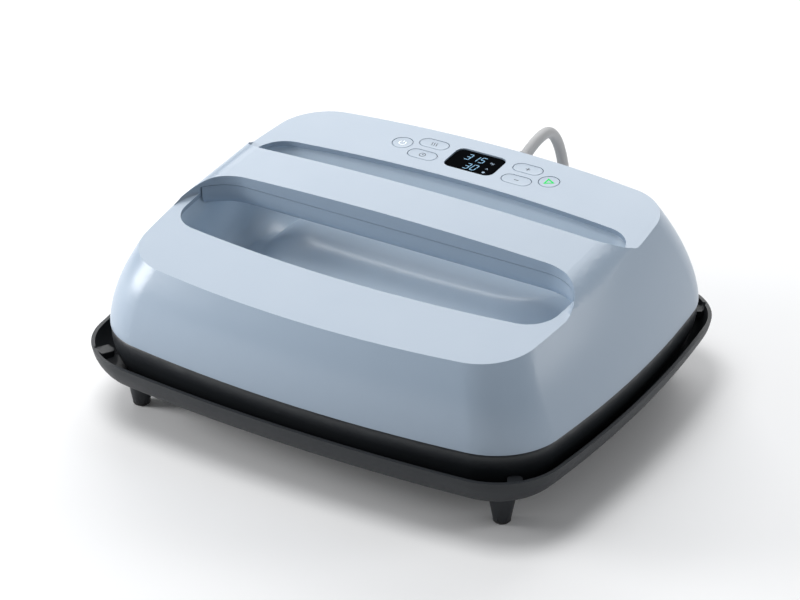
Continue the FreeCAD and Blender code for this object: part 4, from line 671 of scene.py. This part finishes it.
@dataclass
class MainsCord:
    """The mains cord from its strain relief to the put-away coil, and the plug at its end.

    The route, the coil and the relief's profile are in millimetres; what carries MM, and the blend, is in metres.
    """

    diameter: float = 7.6 * MM
    press_shift: float = 3.1
    route: tuple[tuple[float, float, float], ...] = (
        (6.2, 139.3, 102.9),
        (4.0, 165.5, 108.9),
        (1.9, 190.0, 97.8),
        (-1.0, 210.4, 60.0),
        (-13.0, 232.0, 14.0),
        (-45.0, 262.0, 3.8),
        (-85.0, 262.0, 3.8),
    )
    coil_radius: float = 55.0
    coil_pitch: float = 8.2
    turns_in: float = 3.0
    turns_out: float = 3.125
    points_per_turn: int = 24
    tail: float = 22.0
    resting_level: float = 3.8
    coil_shift: float = 7.6
    blend_top: float = 0.085
    blend_foot: float = 0.022
    grip_start: float = 27 * MM
    grip_lift: float = 0.25 * MM
    first_ring: float = 2.6 * MM
    relief_profile: tuple[tuple[float, float], ...] = (
        (0.0, 4.3), (0.25, 4.75), (0.8, 4.95), (7.0, 5.8), (13.9, 6.6), (14.4, 7.4), (14.6, 8.5), (15.1, 9.0),
        (16.2, 9.0), (16.7, 8.6), (16.7, 6.2), (25.7, 6.2), (25.7, 8.7), (26.2, 9.0), (27.6, 9.0), (27.9, 8.6),
    )

    def coil_point(self, turns: float) -> Vector:
        """A point on the coil.

        Args:
            turns: turns from its outer start.

        Returns:
            The point, in the press's own millimetres.
        """
        inwards, outwards = min(turns, self.turns_in), max(turns - self.turns_in, 0.0)
        radius = self.coil_radius - self.coil_pitch * (inwards - outwards)
        climb = min(max((turns - self.turns_in) * 2 + 0.5, 0.0), 1.0)
        level = self.resting_level + self.coil_pitch * (1 - math.cos(math.pi * climb)) / 2
        angle = math.pi / 2 + 2 * math.pi * turns
        end = self.route[-1]
        across, back = end[0] - self.coil_shift, end[1] - self.coil_radius
        return Vector((across + radius * math.cos(angle), back + radius * math.sin(angle), level))

    def line(self) -> list[Vector]:
        """The whole route's control points, in metres, in the row frame."""
        turns = self.turns_in + self.turns_out
        count = round(turns * self.points_per_turn)
        points = [Vector(p) for p in self.route]
        points += [self.coil_point(turns * number / count) for number in range(count + 1)]
        heading = (points[-1] - points[-2]).normalized()
        heading.z = 0.0
        points.append(points[-1] + heading * self.tail)
        return [(p + Vector((0, self.press_shift, 0))) * MM for p in points]

    def curve(self, thickness: float) -> bpy.types.Object:
        """The route as one NURBS spline.

        Args:
            thickness: its tube's radius, or 0 for the bare line.

        Returns:
            The curve object.
        """
        data = bpy.data.curves.new("mains_cord_line", "CURVE")
        data.dimensions = "3D"
        data.resolution_u = 6
        spline = data.splines.new("NURBS")
        points = self.line()
        spline.points.add(len(points) - 1)
        for control, point in zip(spline.points, points):
            control.co = (*point, 1.0)
        spline.order_u = 3
        spline.use_endpoint_u = True
        data.bevel_depth = thickness
        data.bevel_resolution = 6
        data.use_fill_caps = True
        made = bpy.data.objects.new("mains_cord_line", data)
        bpy.context.scene.collection.objects.link(made)
        return made

    def tube(self) -> bpy.types.Object:
        """The cord as a mesh tube along its route, from the strain relief to the coil."""
        parts = []
        for thickness in (0.0, self.diameter / 2):
            line = self.curve(thickness)
            depsgraph = bpy.context.evaluated_depsgraph_get()
            parts.append(bpy.data.meshes.new_from_object(line.evaluated_get(depsgraph)))
            bpy.data.objects.remove(line)
        tube = parts[1]
        tube.polygons.foreach_set("use_smooth", [True] * len(tube.polygons))
        tube.set_sharp_from_angle(angle=math.radians(50))
        cord = piece_from("mains_cord", tube, FINISHES["cord_grey"])
        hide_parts("power_cord", "cord_coil")
        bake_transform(cord)
        return cord

    def plug_frame(self) -> Matrix:
        """The plug's frame: Z out of the cord, Y up."""
        points = self.line()
        return axes_at(points[-1], points[-1] - points[-2], Vector((0, 0, 1)))

    def plug(self) -> None:
        """The plug's moulding, with grip ribs on its two broad faces."""
        dressed_copy("plug_body", "plug_moulding", BASE, "cord_grey", 35.0)
        ribs = Repeater(
            "grip_ribs", {"Count": 6, "Pitch": 3.6 * MM, "Width": 17.0 * MM, "Rise": 24.4 * MM, "Thickness": 1.3 * MM}
        )
        board, entry = ribs.board, ribs.entry
        row = board.add("GeometryNodeMeshLine")
        offset = board.add("ShaderNodeCombineXYZ")
        size = board.add("ShaderNodeCombineXYZ")
        rib = board.add("GeometryNodeMeshCube")
        copies = board.add("GeometryNodeInstanceOnPoints")
        board.join(entry.outputs["Count"], row.inputs["Count"])
        board.join(entry.outputs["Pitch"], offset.inputs["Z"])
        board.join(offset.outputs["Vector"], row.inputs["Offset"])
        board.join(entry.outputs["Width"], size.inputs["X"])
        board.join(entry.outputs["Rise"], size.inputs["Y"])
        board.join(entry.outputs["Thickness"], size.inputs["Z"])
        board.join(size.outputs["Vector"], rib.inputs["Size"])
        board.join(row.outputs["Mesh"], copies.inputs["Points"])
        board.join(rib.outputs["Mesh"], copies.inputs["Instance"])
        ribs.close(copies.outputs["Instances"])
        mesh = ribs.mesh(FINISHES["relief_grey"])
        mesh.transform(self.plug_frame() @ Matrix.Translation((0, self.grip_lift, self.grip_start)))
        grip = piece_from("plug_grip", mesh, FINISHES["relief_grey"])
        edge = grip.modifiers.new("soft_edges", "BEVEL")
        edge.width, edge.segments = 0.4 * MM, 2
        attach(grip, BASE)

    def relief(self) -> None:
        """The tapered strain relief, with rings that let it flex."""
        tip = Vector(self.route[0])
        along = (Vector(self.route[1]) - Vector(self.route[0])).normalized()
        place = axes_at((tip + Vector((0, self.press_shift, 0))) * MM, -along, Vector((0, 0, 1)))
        form = lathe([(level * MM, radius * MM) for level, radius in self.relief_profile], place)
        sleeve = piece_from("cord_relief", mesh_of(form, 40.0), FINISHES["relief_grey"])
        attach(sleeve, PRESS)
        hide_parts("strain_relief")
        sizes = {"Count": 4, "Pitch": 2.9 * MM, "First radius": 5.0 * MM, "Growth": 0.068, "Thickness": 0.75 * MM}
        rings = Repeater("relief_rings", sizes)
        board, entry = rings.board, rings.entry
        row = board.add("GeometryNodeMeshLine")
        offset = board.add("ShaderNodeCombineXYZ")
        circle = board.add("GeometryNodeCurvePrimitiveCircle", Resolution=40)
        section = board.add("GeometryNodeCurvePrimitiveCircle", Resolution=10)
        swept = board.add("GeometryNodeCurveToMesh")
        copies = board.add("GeometryNodeInstanceOnPoints")
        number = board.add("GeometryNodeInputIndex")
        board.join(entry.outputs["Count"], row.inputs["Count"])
        board.join(entry.outputs["Pitch"], offset.inputs["Z"])
        board.join(offset.outputs["Vector"], row.inputs["Offset"])
        board.join(entry.outputs["First radius"], circle.inputs["Radius"])
        board.join(entry.outputs["Thickness"], section.inputs["Radius"])
        board.join(circle.outputs["Curve"], swept.inputs["Curve"])
        board.join(section.outputs["Curve"], swept.inputs["Profile Curve"])
        board.join(row.outputs["Mesh"], copies.inputs["Points"])
        board.join(swept.outputs["Mesh"], copies.inputs["Instance"])
        scale = board.math("MULTIPLY_ADD", number.outputs["Index"], entry.outputs["Growth"], 1.0)
        board.join(scale, copies.inputs["Scale"])
        rings.close(copies.outputs["Instances"])
        mesh = rings.mesh(FINISHES["relief_grey"], 60.0)
        mesh.transform(place @ Matrix.Translation((0, 0, self.first_ring)))
        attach(piece_from("relief_rings", mesh, FINISHES["relief_grey"]), PRESS)

    def build(self) -> None:
        """Makes the cord, its relief and its plug."""
        self.plug()
        self.relief()
        dressed_copy("plug_blades", "plug_pins", BASE, "blade_metal", 35.0)
        self.tube()


@dataclass(frozen=True)
class Panel:
    """A large soft light: its name, place, width and height in metres, and its watts."""

    name: str
    place: tuple[float, float, float]
    size: tuple[float, float]
    power: float


@dataclass
class Studio:
    """The camera at the photograph's angle, a pale floor and soft light."""

    camera_place: tuple[float, float, float] = (0.8705, -1.4425, 1.0075)
    camera_target: tuple[float, float, float] = (-0.00462, 0.0031, 0.0591)
    lens: float = 138.84
    floor_half: float = 6.0
    sky: float = 0.29
    sky_tone: tuple[float, float, float] = (0.97, 0.985, 1.0)
    aim: tuple[float, float, float] = (0.0, 0.0, 0.06)
    panels: tuple[Panel, ...] = (
        Panel("overhead", (-0.5, -0.2, 2.5), (1.2, 1.2), 27.0),
        Panel("left_key", (-1.3, -0.6, 0.45), (0.6, 0.6), 14.5),
        Panel("back_softbox", (-0.9, 2.1, 1.5), (2.6, 1.8), 44.0),
        Panel("right_strip", (2.2, 1.6, 0.9), (0.7, 1.4), 15.0),
    )

    def camera(self) -> None:
        """Sets up the camera."""
        data = bpy.data.cameras.new("photo_camera")
        data.lens, data.sensor_width = self.lens, 36.0
        data.clip_start, data.clip_end = 0.05, 60.0
        made = bpy.data.objects.new("photo_camera", data)
        place = Vector(self.camera_place)
        made.location = place
        made.rotation_mode = "QUATERNION"
        made.rotation_quaternion = (Vector(self.camera_target) - place).to_track_quat("-Z", "Y")
        bpy.context.scene.collection.objects.link(made)
        bpy.context.scene.camera = made

    def floor(self) -> None:
        """Lays the floor."""
        form = bmesh.new()
        half = self.floor_half
        corners = ((-half, -half, 0), (half, -half, 0), (half, half, 0), (-half, half, 0))
        form.faces.new([form.verts.new(corner) for corner in corners])
        finish = Finish("studio_floor", (0.93, 0.933, 0.94), roughness=0.85, tone_shift=0.01, grain=300.0)
        mesh = mesh_of(form, None)
        mesh.materials.append(finish.material())
        made = bpy.data.objects.new("studio_floor", mesh)
        bpy.context.scene.collection.objects.link(made)

    def hang(self, panel: Panel) -> None:
        """Hangs a soft light that faces the press.

        Args:
            panel: the light.
        """
        data = bpy.data.lights.new(panel.name, "AREA")
        data.shape = "RECTANGLE"
        data.size, data.size_y = panel.size
        data.energy = panel.power
        made = bpy.data.objects.new(panel.name, data)
        made.location = panel.place
        made.rotation_mode = "QUATERNION"
        made.rotation_quaternion = (Vector(self.aim) - Vector(panel.place)).to_track_quat("-Z", "Y")
        bpy.context.scene.collection.objects.link(made)

    def lights(self) -> None:
        """Sets the soft lights and the pale surroundings."""
        world = bpy.data.worlds.new("pale_room")
        world.use_nodes = True
        glow = world.node_tree.nodes["Background"]
        glow.inputs["Color"].default_value = (*self.sky_tone, 1.0)
        glow.inputs["Strength"].default_value = self.sky
        bpy.context.scene.world = world
        for panel in self.panels:
            self.hang(panel)
        bpy.context.scene.view_settings.view_transform = "Standard"
        bpy.context.scene.view_settings.look = "None"

    def build(self) -> None:
        """Sets the whole studio."""
        self.camera()
        self.floor()
        self.lights()


@dataclass
class Housing:
    """The blue upper shell with its handle, the well under it, and the dark skirt."""

    sharp: float = 18.0
    pieces: tuple[tuple[str, str, str, str], ...] = (
        ("upper_housing", "shell", "shell_blue", "shell_blue"),
        ("handle_underside", "handle_soffit", "shell_blue", "shell_blue"),
        # The hand well is the shell's own moulding, given a lighter finish that is painted light.
        ("grip_liner", "hand_well", "shell_blue", "well_blue"),
        ("lower_skirt", "skirt", "skirt_charcoal", "skirt_charcoal"),
    )

    def build(self) -> None:
        """Makes the shell's pieces."""
        for node, name, slot, finish in self.pieces:
            dressed_copy(node, name, PRESS, slot, self.sharp, finish)


@dataclass
class SafetyBase:
    """The dark footed tray that the press stands in, its rubber pads and its mat."""

    pieces: tuple[tuple[str, str, str], ...] = (
        ("base_tray", "tray", "tray_charcoal"),
        ("foot_pads", "pads", "foot_rubber"),
        ("rest_mat", "mat", "mat_fabric"),
    )

    def build(self) -> None:
        """Makes the base's pieces."""
        for node, name, slot in self.pieces:
            dressed_copy(node, name, BASE, slot, 30.0)


class Key(Enum):
    """The six keys, by their CAD bodies."""

    POWER = "power_button"
    START = "start_button"
    HEAT = "heat_button"
    TIMER = "timer_button"
    PLUS = "plus_button"
    MINUS = "minus_button"


@dataclass
class KeyPanel:
    """The keys and the display on the shell's rear edge, in the panel's own plane, in millimetres."""

    origin: tuple[float, float, float] = (0.0, 87.8, 120.87)
    tilt: float = 3.491
    round_radius: float = 6.7
    round_reach: float = 53.9
    pill_size: tuple[float, float] = (20.4, 10.4)
    pill_reach: float = 34.5
    pill_pitch: float = 15.3
    collar: float = 1.5
    collar_top: float = -2.85
    collar_bottom: float = -4.05
    dish: float = 0.12
    mark_rise: float = 0.05
    figure_rise: float = 0.03
    figure_width: float = 0.46
    lens_size: tuple[float, float] = (35.5, 24.5)
    lens_corner: float = 5.5
    lens_top: float = -0.8
    lens_bottom: float = -3.0
    segments: dict[str, str] = field(default_factory=lambda: {"0": "abcdef", "1": "bc", "3": "abcdg", "5": "acdfg"})

    def plane(self) -> Matrix:
        """The panel's plane, in metres."""
        turn = Matrix.Rotation(math.radians(self.tilt), 4, "X")
        return Matrix.Translation(Vector(self.origin) * MM) @ turn @ Matrix.Scale(MM, 4)

    def middle(self, key: Key) -> tuple[float, float]:
        """Where a key is on the panel."""
        half = self.pill_pitch / 2
        return {
            Key.POWER: (-self.round_reach, 0.0),
            Key.START: (self.round_reach, 0.0),
            Key.HEAT: (-self.pill_reach, half),
            Key.TIMER: (-self.pill_reach, -half),
            Key.PLUS: (self.pill_reach, half),
            Key.MINUS: (self.pill_reach, -half),
        }[key]

    def cap(self, key: Key) -> None:
        """Makes one key's cap, its top slightly dished and its edge rounded.

        Args:
            key: which key.
        """
        x, y = self.middle(key)
        is_round = key in (Key.POWER, Key.START)
        width, depth = (self.round_radius * 2,) * 2 if is_round else self.pill_size
        place = self.plane() @ Matrix.Translation((x, y, 0))
        rings = [
            (self.collar, self.collar_bottom), (self.collar, self.collar_top), (0.0, self.collar_top), (0.0, -0.45),
            (-0.05, -0.22), (-0.17, -0.07), (-0.38, 0.0), (-0.75, -0.02), (-1.4, -0.08), (-2.2, -self.dish),
        ]
        form = stacked(rings, lambda margin: rounded_outline(width, depth, depth / 2, margin, 16), place)
        made = piece_from(key.name.lower() + "_cap", mesh_of(form, 40.0), FINISHES["key_blue"])
        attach(made, key.value)
        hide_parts(key.value)

    def arc(
        self, middle: tuple[float, float], radius: float, start: float, stop: float, steps: int = 20
    ) -> list[tuple[float, float]]:
        """Points on an arc, its angles in degrees."""
        return [
            (middle[0] + radius * math.cos(math.radians(a)), middle[1] + radius * math.sin(math.radians(a)))
            for a in (start + (stop - start) * step / steps for step in range(steps + 1))
        ]

    def mark(self, key: Key) -> None:
        """Puts the raised mark on one key.

        Args:
            key: which key.
        """
        x, y = self.middle(key)
        place = self.plane() @ Matrix.Translation((x, y, -self.dish - 0.01))
        form = bmesh.new()
        finish = LEGEND
        if key is Key.POWER:
            finish = POWER_LIGHT
            stroke(form, self.arc((0, -0.2), 2.3, 128, 412), 0.45, self.mark_rise, place)
            stroke(form, [(0, 0.5), (0, 2.75)], 0.45, self.mark_rise, place)
        elif key is Key.START:
            finish = START_LIGHT
            stroke(form, [(-1.8, 2.8), (-1.8, -2.8), (3.0, 0.0)], 1.05, self.mark_rise, place, closed=True)
        elif key is Key.HEAT:
            for across in (-1.7, 0.0, 1.7):
                wave = [(across + 0.38 * math.sin(2 * math.pi * t / 12), -1.9 + 3.8 * t / 12) for t in range(13)]
                stroke(form, wave, 0.5, self.mark_rise, place)
        elif key is Key.TIMER:
            stroke(form, self.arc((0, 0), 2.05, 0, 345, 28), 0.5, self.mark_rise, place, closed=True)
            stroke(form, [(0, 1.25), (0, 0), (1.0, 0)], 0.42, self.mark_rise, place)
        elif key is Key.PLUS:
            stroke(form, [(-1.6, 0), (-0.32, 0)], 0.64, self.mark_rise, place)
            stroke(form, [(0.32, 0), (1.6, 0)], 0.64, self.mark_rise, place)
            stroke(form, [(0, -1.6), (0, 1.6)], 0.64, self.mark_rise, place)
        else:
            stroke(form, [(-1.6, 0), (1.6, 0)], 0.64, self.mark_rise, place)
        bmesh.ops.recalc_face_normals(form, faces=form.faces)
        made = piece_from(key.name.lower() + "_mark", mesh_of(form, None), finish)
        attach(made, key.value)

    def lens(self) -> None:
        """Makes the display's gloss window, with a rounded edge."""
        top = self.lens_top
        rings = [(0.0, self.lens_bottom), (0.0, top - 0.3), (-0.06, top - 0.12), (-0.3, top), (-3.0, top)]
        size, corner = self.lens_size, self.lens_corner
        form = stacked(rings, lambda margin: rounded_outline(*size, corner, margin, 12), self.plane())
        made = piece_from("display_window", mesh_of(form, 40.0), FINISHES["lens_black"])
        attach(made, PRESS)
        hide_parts("display_lens")

    def digit(self, form: bmesh.types.BMesh, figure: str, x: float, y: float, place: Matrix) -> None:
        """Draws one seven-segment figure.

        Args:
            form: the bmesh that it goes in.
            figure: the figure, 0 to 9.
            x: its middle on the panel.
            y: its middle on the panel.
            place: the plane that it is drawn on.
        """
        half_width, half_height, gap, lean = 1.55, 3.3, 0.24, 0.14
        ends = {
            "a": ((-1, 1), (1, 1)), "b": ((1, 1), (1, 0)), "c": ((1, 0), (1, -1)), "d": ((-1, -1), (1, -1)),
            "e": ((-1, 0), (-1, -1)), "f": ((-1, 1), (-1, 0)), "g": ((-1, 0), (1, 0)),
        }
        for name in self.segments[figure]:
            first, last = (Vector((px * half_width, py * half_height)) for px, py in ends[name])
            trim = (last - first).normalized() * gap
            line = [first + trim, last - trim]
            stroke(form, [(x + p.x + lean * p.y, y + p.y) for p in line], self.figure_width, self.figure_rise, place)

    def readout(self) -> None:
        """Puts the lit figures and the small marks on the window."""
        place = self.plane() @ Matrix.Translation((0, 0, self.lens_top + 0.005))
        left, bottom = -self.lens_size[0] / 2, -self.lens_size[1] / 2
        figures = [
            ("3", 0.300, 0.700), ("1", 0.443, 0.700), ("5", 0.586, 0.700), ("3", 0.430, 0.275), ("0", 0.573, 0.275),
        ]
        form = bmesh.new()
        for figure, u, v in figures:
            self.digit(form, figure, left + u * self.lens_size[0], bottom + v * self.lens_size[1], place)
        bmesh.ops.recalc_face_normals(form, faces=form.faces)
        lit = piece_from("display_figures", mesh_of(form, None), DIGIT_LIGHT)
        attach(lit, PRESS)
        marks = bmesh.new()
        column = left + 0.80 * self.lens_size[0]
        rows = [bottom + v * self.lens_size[1] for v in (0.64, 0.36, 0.17)]
        high, middle, low = rows
        rise = self.figure_rise
        hook = [(column + 0.2, high - 1.0), (column + 0.45, high + 0.9), (column + 1.5, high + 0.9)]
        peak = [(column - 0.9, middle - 0.6), (column, middle + 0.7), (column + 0.9, middle - 0.6)]
        stroke(marks, self.arc((column - 1.0, high + 0.9), 0.55, 0, 330, 12), 0.3, rise, place, closed=True)
        stroke(marks, hook, 0.32, rise, place)
        stroke(marks, [(column + 0.35, high), (column + 1.2, high)], 0.3, rise, place)
        stroke(marks, peak, 0.32, rise, place)
        stroke(marks, self.arc((column, low), 0.62, 0, 330, 12), 0.75, rise, place, closed=True)
        bmesh.ops.recalc_face_normals(marks, faces=marks.faces)
        small = piece_from("display_marks", mesh_of(marks, None), MARK_LIGHT)
        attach(small, PRESS)

    def build(self) -> None:
        """Makes the keys and the display."""
        for key in Key:
            self.cap(key)
            self.mark(key)
        self.lens()
        self.readout()


@dataclass
class Works:
    """The CAD nodes that stay as they are, each dressed in its slot's finish."""

    nodes: Iterable[dict] = field(default_factory=lambda: frame["record"]["subparts"])

    def build(self) -> None:
        """Gives every node its finish."""
        for row in self.nodes:
            node = frame["nodes"][row["node"]]
            node.data.materials.clear()
            node.data.materials.append(FINISHES[row["material_slot"]].material())
            if not node.hide_render:
                log.info("%s dressed in %s", row["node"], row["material_slot"])


def main() -> None:
    """Builds the sub-assemblies in order."""
    logging.basicConfig(level=logging.INFO, format="%(name)s: %(message)s")
    for part in (Studio(), MainsCord(), Housing(), SafetyBase(), KeyPanel(), Works()):
        part.build()
        log.info("%s built", type(part).__name__)


if __name__ == "__main__":
    main()
